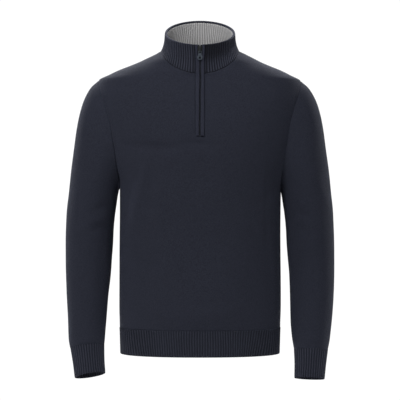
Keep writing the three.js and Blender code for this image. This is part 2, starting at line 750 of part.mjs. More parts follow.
// The grey wall stands inside the outer one, plain behind and ribbed on the side that shows.
function innerCollar() {
  const outer = [];
  const inner = [];
  const behind = COLLAR_WALL + COLLAR_LAYER_GAP;
  for (const atTop of [false, true]) {
    const plain = [];
    const ribbed = [];
    for (let j = 0; j <= 2 * COLLAR_RIBS; j += 1) {
      const share = j / COLLAR_RIBS - 1;
      const rise = atTop ? 1 - (ROLL_HEIGHT + SEAM_GAP) / collarHeight(share) : 0;
      const rib = j % 2 === 0 ? 0 : INNER_RIB_RISE;
      ribbed.push(collarPlace(share, rise, behind + INNER_COLLAR_WALL + rib));
      if (j % 2 === 0) plain.push(collarPlace(share, rise, behind));
    }
    outer.push(ribbed);
    inner.push(plain);
  }
  return wallGeometry({ outer, inner, perColumn: 2 });
}

// Centre line of the zip on the cloth's outer face, straight between the front panel's rows
const ZIP_KNOTS = Array.from({ length: ROWS_BESIDE_SLIT + 1 }, (_, i) => {
  const z = lerp(SLIT_END, NECK_FRONT, i / ROWS_BESIDE_SLIT);
  return new THREE.Vector2(-frontDepth(z), z);
}).concat(new THREE.Vector2(RIM_MIDDLE_Y - RIM_HALF_DEPTH, RIM_MIDDLE_Z - RIM_RISE_TO_BACK));

// The zip line's point at a height, and the direction that points out of the cloth there
function zipLine(z) {
  const i = Math.max(ZIP_KNOTS.findIndex((knot) => knot.y >= z), 1);
  const k = ZIP_KNOTS.findIndex((knot) => knot.y >= z) === -1 ? ZIP_KNOTS.length - 1 : i;
  const low = ZIP_KNOTS[k - 1];
  const high = ZIP_KNOTS[k];
  const t = (z - low.y) / (high.y - low.y);
  const slope = (high.x - low.x) / (high.y - low.y);
  const out = new THREE.Vector3(0, -1, slope).normalize();
  return { point: new THREE.Vector3(0, lerp(low.x, high.x, t), z), out };
}

function zipPlace(x, z, depth) {
  const { point, out } = zipLine(z);
  const low = zipLine(Math.max(z - 3, ZIP_BOTTOM)).out;
  const high = zipLine(Math.min(z + 3, ZIP_TOP)).out;
  const direction = out.clone().add(low).add(high).normalize();
  return point.clone().setX(x).addScaledVector(direction, depth);
}

const ZIP_HEIGHTS = [
  ZIP_BOTTOM, -166, ZIP_KNOTS[1].y, -120, ZIP_KNOTS[2].y, -74, -54, NECK_FRONT, -48,
  -34, BAND_PARTS.from, -17, -13, -9, BAND_PARTS.to, ZIP_TOP,
];

// Knit band beside the zip, with its long edges rounded off. It parts round the slider.
function placket(name) {
  const side = SIDES[name];
  const middle = (NECK_FRONT + RIM_MIDDLE_Z - RIM_RISE_TO_BACK) / 2;
  let profile = [];
  const stations = ZIP_HEIGHTS.map((z) => {
    const parted = smoothstep(z, BAND_PARTS.from, BAND_PARTS.to);
    const inner = lerp(BAND.inner, BAND_AT_SLIDER.inner, parted);
    const above = THREE.MathUtils.clamp((z - middle) / (ZIP_TOP - middle), 0, 1);
    const outer = lerp(BAND.outer, BAND_AT_SLIDER.outer, above);
    profile = [
      [inner, BAND.back],
      [outer, BAND.back],
      [outer, BAND.front - BAND.chamfer],
      [outer - BAND.chamfer, BAND.front],
      [inner + BAND.chamfer, BAND.front],
      [inner, BAND.front - BAND.chamfer],
    ];
    return profile.map(([x, depth]) => zipPlace(side * x, z, depth));
  });
  return sweptGeometry(stations, profile);
}

function zipTape(name) {
  const side = SIDES[name];
  const profile = [
    [TAPE.inner, TAPE.back],
    [TAPE.outer, TAPE.back],
    [TAPE.outer, TAPE.front],
    [TAPE.inner, TAPE.front],
  ];
  const stations = ZIP_HEIGHTS.map((z) => profile.map(([x, depth]) => zipPlace(side * x, z, depth)));
  return sweptGeometry(stations, profile);
}

function zipChain() {
  const profile = [
    [-CHAIN.half, CHAIN.back],
    [CHAIN.half, CHAIN.back],
    [CHAIN.half, CHAIN.front],
    [-CHAIN.half, CHAIN.front],
  ];
  const heights = [...ZIP_HEIGHTS.filter((z) => z < CHAIN.top - 1), CHAIN.top];
  const stations = heights.map((z) => profile.map(([x, depth]) => zipPlace(x, z, depth)));
  return sweptGeometry(stations, profile);
}

// Joins closed three.js geometries into one closed body
function solid(geometry) {
  const plain = geometry.clone();
  plain.deleteAttribute('normal');
  plain.deleteAttribute('uv');
  const merged = mergeVertices(plain, 1e-4);
  return new wasm.Manifold(new wasm.Mesh({
    numProp: 3,
    vertProperties: new Float32Array(merged.attributes.position.array),
    triVerts: new Uint32Array(merged.index.array),
  }));
}

function fromSolid(manifold) {
  const mesh = manifold.getMesh();
  const geometry = new THREE.BufferGeometry();
  geometry.setAttribute('position', new THREE.Float32BufferAttribute(mesh.vertProperties, 3));
  geometry.setIndex([...mesh.triVerts]);
  geometry.computeVertexNormals();
  return geometry;
}

// A flat plate drawn in x and z, whose front and back stand at given distances out of the cloth
function plate(shape, front, back, curveSegments = 6) {
  const options = { depth: front - back, bevelEnabled: false, curveSegments };
  const geometry = new THREE.ExtrudeGeometry(shape, options);
  geometry.rotateX(Math.PI / 2);
  return geometry.translate(0, -back, 0);
}

function roundedOutline(half, bottom, top, corner) {
  const shape = new THREE.Shape();
  shape.moveTo(-half + corner, bottom);
  shape.lineTo(half - corner, bottom);
  shape.absarc(half - corner, bottom + corner, corner, -Math.PI / 2, 0);
  shape.lineTo(half, top - corner);
  shape.absarc(half - corner, top - corner, corner, 0, Math.PI / 2);
  shape.lineTo(-half + corner, top);
  shape.absarc(-half + corner, top - corner, corner, Math.PI / 2, Math.PI);
  shape.lineTo(-half, bottom + corner);
  shape.absarc(-half + corner, bottom + corner, corner, Math.PI, 1.5 * Math.PI);
  return shape;
}

// The loop on the slider's face that the pull hangs from, a half ring round the pivot
function crown() {
  const shape = new THREE.Shape();
  const outer = CROWN.radius + CROWN.bar;
  const inner = CROWN.radius - CROWN.bar;
  const foot = PIVOT_OUT - SLIDER.frontFace + 0.6;
  shape.moveTo(-outer, -foot);
  shape.lineTo(-inner, -foot);
  shape.lineTo(-inner, 0);
  shape.absarc(0, 0, inner, Math.PI, 0, true);
  shape.lineTo(inner, -foot);
  shape.lineTo(outer, -foot);
  shape.lineTo(outer, 0);
  shape.absarc(0, 0, outer, 0, Math.PI, false);
  const geometry = new THREE.ExtrudeGeometry(shape, {
    depth: 2 * CROWN.half,
    bevelEnabled: false,
    curveSegments: 10,
  });
  const right = new THREE.Vector3(1, 0, 0);
  const out = new THREE.Vector3(0, -1, 0);
  const up = new THREE.Vector3(0, 0, 1);
  geometry.translate(0, 0, -CROWN.half);
  geometry.applyMatrix4(new THREE.Matrix4().makeBasis(up, out, right));
  return geometry.translate(0, -PIVOT_OUT, 0);
}

function slider() {
  const outline = roundedOutline(SLIDER.half, SLIDER.bottom, SLIDER.top, SLIDER.corner);
  const post = roundedOutline(SLIDER_POST.half, SLIDER_POST.bottom, SLIDER_POST.top, 0.5);
  const { half, bottom, top, corner, front } = SLIDER_NOSE;
  const nose = roundedOutline(half, bottom, top, corner);
  const body = solid(plate(outline, SLIDER.frontFace, SLIDER.frontBack))
    .add(solid(plate(outline, SLIDER_PLATE.front, SLIDER_PLATE.back)))
    .add(solid(plate(post, SLIDER.frontFace - 0.5, SLIDER_PLATE.back + 0.5)))
    .add(solid(plate(nose, front, SLIDER.frontFace - 0.5)))
    .add(solid(crown()));
  return fromSolid(body);
}

// Pull tab: narrow at the pivot, widening to a ring end, with an eye for the crown
function pullTab() {
  const shape = new THREE.Shape();
  const { topHalf, topRise, corner, waistHalf, waistDrop, ringHalf, ringDrop, length } = PULL;
  const flareDrop = (waistDrop + ringDrop) / 2;
  const cheek = ringHalf / 2;
  shape.moveTo(-topHalf + corner, topRise);
  shape.lineTo(topHalf - corner, topRise);
  shape.quadraticCurveTo(topHalf, topRise, topHalf, topRise - corner);
  shape.lineTo(waistHalf, -waistDrop);
  shape.bezierCurveTo(waistHalf, -flareDrop, ringHalf, -flareDrop, ringHalf, -ringDrop);
  shape.bezierCurveTo(ringHalf, -length + cheek / 2, cheek, -length, 0, -length);
  shape.bezierCurveTo(-cheek, -length, -ringHalf, -length + cheek / 2, -ringHalf, -ringDrop);
  shape.bezierCurveTo(-ringHalf, -flareDrop, -waistHalf, -flareDrop, -waistHalf, -waistDrop);
  shape.lineTo(-topHalf, topRise - corner);
  shape.quadraticCurveTo(-topHalf, topRise, -topHalf + corner, topRise);
  const hole = new THREE.Path();
  hole.absarc(0, -ringDrop, PULL.holeRadius, 0, 2 * Math.PI, false);
  const eye = new THREE.Path();
  eye.moveTo(-PULL_EYE.half, PULL_EYE.top);
  eye.lineTo(-PULL_EYE.half, PULL_EYE.bottom);
  eye.lineTo(PULL_EYE.half, PULL_EYE.bottom);
  eye.lineTo(PULL_EYE.half, PULL_EYE.top);
  shape.holes.push(hole, eye);
  const half = PULL.thickness / 2;
  return plate(shape, PIVOT_OUT + half, PIVOT_OUT - half, 8);
}

function part(name, geometry, colour, roughness = 0.95, metalness = 0) {
  const material = new THREE.MeshStandardMaterial({ color: colour, roughness, metalness });
  const mesh = new THREE.Mesh(geometry, material);
  mesh.name = name;
  return mesh;
}

const sweater = new THREE.Group();
sweater.add(
  part('body_front', frontPanel(), COLOURS.navyJersey),
  part('body_back', backPanel(), COLOURS.navyJersey),
  part('hem_rib_front', hemBand(false), COLOURS.navyRib),
  part('hem_rib_back', hemBand(true), COLOURS.navyRib),
  part('collar_outer', outerCollar(), COLOURS.navyRib),
  part('collar_inner', innerCollar(), COLOURS.greyRib),
);
for (const name of Object.keys(SIDES)) {
  sweater.add(
    part(`sleeve_${name}`, sleeveTube(name), COLOURS.navyJersey),
    part(`cuff_${name}`, cuffTube(name), COLOURS.navyRib),
    part(`placket_${name}`, placket(name), COLOURS.navyBand),
    part(`zip_tape_${name}`, zipTape(name), COLOURS.tape),
  );
}
sweater.add(part('zip_chain', zipChain(), COLOURS.chain, 0.5, 0.4));

// The slider and its pull lean with the collar's front.
const fittings = new THREE.Group();
const pivotLine = zipLine(PIVOT_Z);
fittings.position.copy(pivotLine.point);
fittings.rotation.x = -Math.atan2(pivotLine.out.z, -pivotLine.out.y);
fittings.add(
  part('zip_slider', slider(), COLOURS.metal, 0.45, 0.7),
  part('zip_pull', pullTab(), COLOURS.metal, 0.45, 0.7),
);
sweater.add(fittings);

export default sweater;
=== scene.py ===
"""A quarter zip sweater in fine navy knit, worn shape with no wearer, on a plain pale studio floor.

Tables and sizes of the garment are in millimetres, and meshes are made from them in metres.
"""

import logging
import math
from dataclasses import dataclass, field, replace
from enum import Enum
from functools import cached_property

import bmesh
import bpy
import numpy as np
from mathutils import Matrix, Vector


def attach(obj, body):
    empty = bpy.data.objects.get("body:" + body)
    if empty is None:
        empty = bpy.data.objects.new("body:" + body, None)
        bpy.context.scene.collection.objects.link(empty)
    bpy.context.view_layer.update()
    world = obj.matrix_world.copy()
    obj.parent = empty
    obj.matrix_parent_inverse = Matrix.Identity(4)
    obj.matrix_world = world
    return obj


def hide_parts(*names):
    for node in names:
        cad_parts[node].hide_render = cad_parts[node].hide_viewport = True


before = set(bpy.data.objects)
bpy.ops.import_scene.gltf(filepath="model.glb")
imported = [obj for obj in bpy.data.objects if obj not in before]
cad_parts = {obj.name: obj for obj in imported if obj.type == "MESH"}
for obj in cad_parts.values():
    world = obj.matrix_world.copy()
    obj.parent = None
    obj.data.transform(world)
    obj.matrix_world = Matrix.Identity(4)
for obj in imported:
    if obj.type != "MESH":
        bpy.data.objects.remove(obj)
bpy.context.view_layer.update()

LOG = logging.getLogger("sweater")
MM = 0.001
GARMENT = "garment"
PULL_BODY = "pull_tab"
DOUBLES = 1e-6
TINY = 1e-9
LENGTH_STEPS = 24

Array = np.ndarray
Piece = bpy.types.Object
Socket = bpy.types.NodeSocket
Pair = tuple[float, float]
Triple = tuple[float, float, float]
Table = tuple[tuple[float, ...], ...]


class Half(Enum):
    """One of a pair of halves, whose name is part of piece and node names."""

    @property
    def word(self) -> str:
        """The half's name in piece and node names."""
        return self.name.lower()


class Side(Half):
    """The wearer's side that a piece is on, as the sign of its x."""

    LEFT = 1
    RIGHT = -1


class Face(Half):
    """The front or back half of the garment, as the sign of its y."""

    FRONT = -1
    BACK = 1


def mix(low: Array | float, high: Array | float, share: Array | float) -> Array:
    """The value at a share of the way from low to high."""
    return low + (high - low) * np.asarray(share, float)


def soft_step(value: Array | float, low: float, high: float) -> Array:
    """A smooth rise from 0 at low to 1 at high."""
    share = np.clip((np.asarray(value, float) - low) / (high - low), 0, 1)
    return share * share * (3 - 2 * share)


def unit(vectors: Array) -> Array:
    """The vectors at length 1."""
    return vectors / np.maximum(np.linalg.norm(vectors, axis=-1, keepdims=True), TINY)


def stack(x: Array, y: Array, z: Array) -> Array:
    """Points from their three coordinates."""
    return np.stack(np.broadcast_arrays(x, y, z), axis=-1).astype(float)


def bell(offset: Array | float, reach: float) -> Array:
    """A smooth bump that is 1 at an offset of 0 and fades over the reach."""
    return np.exp(-((offset / reach) ** 2))


def squared(wave: Array, power: float) -> Array:
    """A sine or cosine, bent so that the circle it draws becomes a rounded square."""
    return np.sign(wave) * np.abs(wave) ** (2 / power)


def run_along(points: Array, axis: int = 0) -> Array:
    """Lengths along the points of each line on an axis, from 0 at its first point."""
    steps = np.linalg.norm(np.diff(points, axis=axis), axis=-1)
    return np.concatenate([np.zeros_like(steps.take([0], axis)), np.cumsum(steps, axis=axis)], axis=axis)


class Curve:
    """A smooth curve through knots that doesn't overshoot between them."""

    def __init__(self, knots: list[float], values: list[float]) -> None:
        """Works out the curve's tangents.

        Args:
            knots: places along the curve, rising.
            values: the curve's value at each knot.
        """
        self.knots = np.array(knots, float)
        self.values = np.array(values, float)
        slopes = np.diff(self.values) / np.diff(self.knots)
        self.tangents = np.zeros(len(knots))
        self.tangents[0] = slopes[0]
        self.tangents[-1] = slopes[-1]
        same = slopes[:-1] * slopes[1:] > 0
        total = np.where(same, slopes[:-1] + slopes[1:], 1.0)
        self.tangents[1:-1] = np.where(same, 2 * slopes[:-1] * slopes[1:] / total, 0.0)

    def __call__(self, place: Array | float) -> Array:
        """The curve's value at a place.

        Args:
            place: one place or an array of them.

        Returns:
            The values, held at the curve's ends beyond them.
        """
        at = np.clip(np.asarray(place, float), self.knots[0], self.knots[-1])
        k = np.clip(np.searchsorted(self.knots, at) - 1, 0, len(self.knots) - 2)
        span = self.knots[k + 1] - self.knots[k]
        t = (at - self.knots[k]) / span
        t2 = t * t
        t3 = t2 * t
        return (
            self.values[k] * (2 * t3 - 3 * t2 + 1)
            + span * self.tangents[k] * (t3 - 2 * t2 + t)
            + self.values[k + 1] * (3 * t2 - 2 * t3)
            + span * self.tangents[k + 1] * (t3 - t2)
        )


@dataclass(frozen=True)
class Torso:
    """The body's outer face: a stack of rounded sections, with its armholes and its neckline."""

    # Height, half width, depth to the front and depth to the back of each section
    sections: Table = (
        (-670, 178, 117, 109),
        (-613, 179.6, 118, 110),
        (-560, 181, 120, 107),
        (-450, 180.3, 120, 105),
        (-300, 180, 127, 112),
        (-250, 196, 127, 115),
        (-212, 208, 125, 118),
        (-186, 217, 122, 117),
        (-157, 223, 118, 115),
        (-131, 230, 112, 112),
        (-98, 234, 104, 105),
        (-76, 231, 97, 97),
        (-60, 226, 91, 92),
        (-48, 203.5, 87, 88),
        (-38, 183, 82, 85),
        (-29, 161, 78, 82.5),
        (-20, 139.5, 75, 80),
        (-11, 121, 69, 77),
        (-4, 106, 64, 74),
        (5.6, 87.3, 60, 71),
        (10, 81, 58, 69.5),
        (15, 75, 56, 68),
    )
    power: float = 2.3
    hem_edge: float = -670
    hem_seam: float = -613
    armpit: float = -300
    shoulder_tip: float = -60
    armhole_depth: float = 64
    neck_front: float = -51
    neck_side: float = 5.6
    neck_back: float = 15
    neck_half: float = 87.3
    # The scoop is up to 6 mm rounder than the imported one, as the photograph shows it
    scoop_power: float = 1.2
    slit_half: float = 9.2
    slit_end: float = -189.3
    widest: float = -98

    @cached_property
    def columns(self) -> tuple[Curve, Curve, Curve]:
        """Half width, front depth and back depth as curves of the height."""
        table = np.array(self.sections)
        return tuple(Curve(table[:, 0], table[:, column]) for column in (1, 2, 3))

    def point(self, turn: Array, z: Array) -> Array:
        """Points of the outer face.

        Args:
            turn: degrees from 0 at the front centre to 180 at the back centre.
            z: heights.

        Returns:
            The points, in millimetres.
        """
        half, front, back = self.columns
        angle = np.radians(turn)
        across = squared(np.sin(angle), self.power)
        along = np.abs(squared(np.cos(angle), self.power))
        depth = np.where(np.cos(angle) >= 0, -front(z), back(z))
        return stack(half(z) * across, depth * along, z)

    def turn_at_width(self, x: Array | float, z: Array, back: Array | bool) -> Array:
        """The turn at which the section at height z is x wide.

        Args:
            x: distances from the centre plane.
            z: heights.
            back: whether it is on the back.

        Returns:
            The turns, in degrees.
        """
        share = np.clip(x / self.columns[0](z), 0, 1) ** (self.power / 2)
        turn = np.degrees(np.arcsin(share))
        return np.where(back, 180 - turn, turn)

    def turn_at_depth(self, y: Array, z: Array, back: Array | bool) -> Array:
        """The turn at which the section at height z is y deep.

        Args:
            y: distances from the plane through the sides.
            z: heights.
            back: whether it is on the back.

        Returns:
            The turns, in degrees.
        """
        reach = np.where(back, self.columns[2](z), self.columns[1](z))
        turn = np.degrees(np.arccos(np.clip(y / reach, 0, 1) ** (self.power / 2)))
        return np.where(back, 180 - turn, turn)

    def armhole(self, ring: Array, back: Array | bool) -> tuple[Array, Array]:
        """Turn and height on the armhole, for ring angles from 0 at the shoulder tip to 180.

        Args:
            ring: ring angles, in degrees.
            back: whether it is on the back.

        Returns:
            The turns, in degrees, and the heights.
        """
        middle = (self.shoulder_tip + self.armpit) / 2
        z = middle + (self.shoulder_tip - self.armpit) / 2 * np.cos(np.radians(ring))
        y = self.armhole_depth * np.sin(np.radians(ring))
        return self.turn_at_depth(np.abs(y), z, back), z

    def neckline(self, angle: Array) -> tuple[Array, Array]:
        """Turn and height on the neckline, for neck angles from 0 in front to 180 behind.

        Args:
            angle: neck angles, in degrees.

        Returns:
            The turns, in degrees, and the heights.
        """
        back = np.asarray(angle) > 90
        lean = np.abs(np.cos(np.radians(angle)))
        behind = self.neck_side + (self.neck_back - self.neck_side) * lean**2
        ahead = self.neck_side - (self.neck_side - self.neck_front) * lean**self.scoop_power
        z = np.where(back, behind, ahead)
        x = self.neck_half * np.sin(np.radians(angle))
        return self.turn_at_width(x, z, back), z

    @property
    def slit_angle(self) -> float:
        """The neck angle at which the zip's opening meets the neckline."""
        return math.degrees(math.asin(self.slit_half / self.neck_half))

    def wale_place(self, turn: Array, z: Array) -> Array:
        """Lengths of cloth that a knit pattern follows: round from the centre, and up.

        Args:
            turn: degrees, from 0 or 180 at the centre of the panel to 90 at its side.
            z: heights.

        Returns:
            Two lengths for each point, in millimetres.
        """
        back = np.asarray(turn) > 90
        centre = np.where(back, 180.0, 0.0)
        around = np.zeros(np.shape(turn))
        x = self.point(turn, z)[..., 0]
        top = np.maximum(z, self.widest)
        height = np.minimum(z, self.widest)
        for k in range(LENGTH_STEPS):
            first, last = k / LENGTH_STEPS, (k + 1) / LENGTH_STEPS
            step = self.point(mix(centre, turn, last), z) - self.point(mix(centre, turn, first), z)
            around += np.linalg.norm(step, axis=-1)
            low = mix(self.widest, top, first)
            high = mix(self.widest, top, last)
            rise = self.point(self.turn_at_width(x, high, back), high)
            rise -= self.point(self.turn_at_width(x, low, back), low)
            height = height + np.linalg.norm(rise, axis=-1)
        return np.stack([around, height], axis=-1)


@dataclass(frozen=True)
class ArmForm:
    """A sleeve's outer face: rings that run from an outer point to an inner point."""

    # Outer x and z, inner x and z, half depth, middle y and forward lean of each ring
    upper: Table = (
        (226, -60, 181, -300, 64, 0, 0),
        (243.5, -75, 181.5, -303, 64.5, 1, 0),
        (260, -104, 182.5, -306, 65, 2, 0),
        (269.8, -135, 183.3, -311, 66, 3, 0),
        (277, -170, 184.8, -320, 67, 4, 0),
        (283.5, -215, 187, -337, 67.5, 5.5, 0),
        (290, -262, 190.4, -362, 66.5, 7, 0),
        (295, -310, 193.3, -392, 64.5, 8, 1),
        (300.3, -360, 195, -425, 62, 8, 3),
        (302, -418, 197.5, -458, 59, 5, 6),
    )
    right_forearm: Table = (
        (301.5, -470, 200, -496, 55, 0, 9),
        (298.5, -530, 204.8, -540, 50, -9, 11),
        (293.5, -590, 208.2, -592, 45, -21, 12.5),
        (291, -636, 211, -632, 40, -32, 13.5),
        (287.8, -657, 212.4, -649, 37, -37, 14),
    )
    left_forearm: Table = (
        (301, -470, 200.5, -496, 55, 0, 9),
        (298.5, -530, 201.5, -544, 50, -9, 10),
        (294, -592, 202, -598, 45, -21, 10.5),
        (288.3, -640, 205.7, -641, 40, -32, 10.5),
        (284.2, -661, 208.5, -659, 37, -37, 10.5),
    )
    right_cuff: Table = (
        (287, -657.4, 213.2, -649.4, 36.4, -37.1, 14),
        (281, -690, 212.4, -680, 34, -43.5, 14.5),
        (276.7, -721, 210, -710, 33, -49, 14.5),
    )
    left_cuff: Table = (
        (283.4, -661.4, 209.3, -659.4, 36.4, -37.1, 10.5),
        (279, -692, 210.2, -690, 34, -42.5, 10.5),
        (275.2, -724.5, 209.5, -721.5, 33, -47.5, 10.5),
    )
    cap_blend: float = 0.42

    def arm_rows(self, side: Side) -> Table:
        """The table of a whole sleeve."""
        return self.upper + (self.left_forearm if side is Side.LEFT else self.right_forearm)

    def cuff_rows(self, side: Side) -> Table:
        """The table of a cuff."""
        return self.left_cuff if side is Side.LEFT else self.right_cuff

    @staticmethod
    def tube(rows: Table, ring: Array, share: Array) -> Array:
        """Points of a tube drawn for +X.

        Args:
            rows: the tube's table.
            ring: ring angles, 0 on the outer side and 90 in front.
            share: share of the way down the tube.

        Returns:
            The points, in millimetres.
        """
        table = np.array(rows)
        knots = np.arange(len(table)) / (len(table) - 1)
        at = [Curve(knots, column)(share) for column in table.T]
        outer_x, outer_z, inner_x, inner_z, depth, middle, lean = at
        angle = np.radians(ring)
        outward = (1 + np.cos(angle)) / 2
        reach = -depth * np.sin(angle)
        return stack(
            mix(inner_x, outer_x, outward),
            middle + reach * np.cos(np.radians(lean)),
            mix(inner_z, outer_z, outward) - reach * np.sin(np.radians(lean)),
        )

    def sleeve(self, torso: Torso, side: Side, ring: Array, share: Array) -> Array:
        """Points of a sleeve whose cap is blended on to the armhole, drawn for +X.

        Args:
            torso: the body that it is set into.
            side: the side whose table is used.
            ring: ring angles, 0 on the outer side and 90 in front.
            share: share of the way down the sleeve.

        Returns:
            The points, in millimetres.
        """
        rows = self.arm_rows(side)
        angle = np.mod(ring, 360)
        back = angle > 180
        turn, z = torso.armhole(np.where(back, 360 - angle, angle), back)
        shift = torso.point(turn, z) - self.tube(rows, angle, np.zeros_like(angle))
        fade = 1 - soft_step(share, 0, self.cap_blend)
        return self.tube(rows, angle, share) + shift * fade[..., None]


@dataclass(frozen=True)
class Fold:
    """A soft trough, or with a positive rise a soft ridge, seen from the front or the back."""

    face: Face
    start: Pair
    end: Pair
    width: float
    rise: float
    bow: float = 0.0
    # How it fades past its ends, towards its ends and where the cloth turns away
    end_fade: float = 0.6
    end_depth: float = 0.35
    end_share: float = 0.04
    turned_away: float = -0.15
    turned_to: float = 0.45

    def relief(self, points: Array, normals: Array) -> Array:
        """How far the fold moves each point along its normal, in millimetres.

        Args:
            points: points of the cloth, in millimetres.
            normals: the unit normals there.

        Returns:
            The move along each normal, in millimetres.
        """
        first = np.array(self.start, float)
        run = np.array(self.end, float) - first
        length = np.linalg.norm(run)
        along = run / length
        across = np.array([-along[1], along[0]])
        offset = points[..., [0, 2]] - first
        share = offset @ along / length
        held = np.clip(share, 0, 1)
        arch = 4 * held * (1 - held)
        aside = offset @ across - self.bow * arch
        past = (share - held) * length
        near = np.exp(-(aside**2 + past**2 * self.end_fade) / self.width**2)
        taper = mix(self.end_depth, 1, np.sin(np.pi * np.clip(held, self.end_share, 1 - self.end_share)))
        facing = soft_step(normals[..., 1] * self.face.value, self.turned_away, self.turned_to)
        return self.rise * near * taper * facing


FOLDS: tuple[Fold, ...] = (
    # Front of the body: slack beside the viewer's left seam, below the zip and by the right seam
    Fold(Face.FRONT, (-119, -262), (-148, -430), 10, 4.2, -6),
    Fold(Face.FRONT, (-98, -250), (-110, -370), 13, -2.6, -4),
    Fold(Face.FRONT, (-150, -290), (-168, -400), 9, -3.4, -4),
    Fold(Face.FRONT, (-168, -305), (-118, -345), 13, -2.2, 6),
    Fold(Face.FRONT, (-150, -208), (-46, -213), 12, -3.8, -3),
    Fold(Face.FRONT, (-40, -205), (26, -209), 10, -3.0, 2),
    Fold(Face.FRONT, (136, -225), (133, -480), 6, 1.0, 3),
    Fold(Face.FRONT, (150, -240), (148, -500), 6, -1.2, -2),
    Fold(Face.FRONT, (166, -306), (122, -352), 12, -1.9, -5),
    Fold(Face.FRONT, (-150, -578), (150, -574), 20, 2.4, -6),
    # Front of the sleeves: inside of the elbows, a pressed line and slack over the cuffs
    Fold(Face.FRONT, (-203, -335), (-248, -356), 9, -2.4, 3),
    Fold(Face.FRONT, (-205, -362), (-246, -378), 8, 1.9, 3),
    Fold(Face.FRONT, (-203, -388), (-244, -402), 9, -2.2, -3),
    Fold(Face.FRONT, (-268, -300), (-273, -400), 5, -1.0, 2),
    Fold(Face.FRONT, (203, -345), (244, -362), 9, -1.9, -3),
    Fold(Face.FRONT, (204, -392), (246, -402), 9, -1.7, 3),
    Fold(Face.FRONT, (256, -282), (284, -345), 8, 1.5, 4),
    Fold(Face.FRONT, (-284, -640), (-212, -634), 9, 1.7, 2),
    Fold(Face.FRONT, (284, -638), (212, -636), 9, 1.7, -2),
    # Back of the body, which the photograph doesn't show
    Fold(Face.BACK, (-96, -92), (92, -98), 16, -2.0, 9),
    Fold(Face.BACK, (168, -300), (112, -362), 14, -2.5, -8),
    Fold(Face.BACK, (-166, -302), (-108, -350), 15, -2.4, 7),
    Fold(Face.BACK, (132, -290), (158, -455), 18, 2.5, 7),
    Fold(Face.BACK, (-40, -420), (78, -436), 16, -1.5, 6),
    Fold(Face.BACK, (-150, -576), (150, -580), 20, 2.5, 5),
    # Back of the sleeves
    Fold(Face.BACK, (212, -372), (276, -352), 11, -2.2, -4),
    Fold(Face.BACK, (-214, -360), (-278, -346), 11, -2.4, 4),
    Fold(Face.BACK, (284, -640), (212, -634), 9, 1.7, 2),
    Fold(Face.BACK, (-284, -638), (-212, -638), 9, 1.7, -2),
)


@dataclass(frozen=True)
class Lay:
    """The relief that listed folds and the cloth's slack give to a piece."""

    folds: tuple[Fold, ...] = FOLDS
    # Height of each wave, radians for a millimetre of x, y and z, and phase
    waves: Table = (
        (0.55, 0.021, 0.013, 0.008, 0.4),
        (0.45, -0.013, 0.031, 0.017, 2.1),
        (0.3, 0.047, 0.009, -0.028, 4.4),
    )

    def relief(self, points: Array, normals: Array, free: Array | float = 1.0) -> Array:
        """How far the lay of the cloth moves each point.

        Args:
            points: the points, in millimetres.
            normals: the unit normals there.
            free: 1 where the cloth hangs free, down to 0 at a seam with a ribbed piece.

        Returns:
            The move along each normal, in millimetres.
        """
        total = self.slack(points)
        for fold in self.folds:
            total += fold.relief(points, normals)
        return total * free

    def slack(self, points: Array) -> Array:
        """Broad, shallow waves that keep the cloth from looking machined.

        Args:
            points: points of the cloth, in millimetres.

        Returns:
            The move along each normal, in millimetres.
        """
        total = np.zeros(points.shape[:-1])
        for height, *numbers, phase in self.waves:
            total += height * np.sin(points @ np.array(numbers) + phase)
        return total


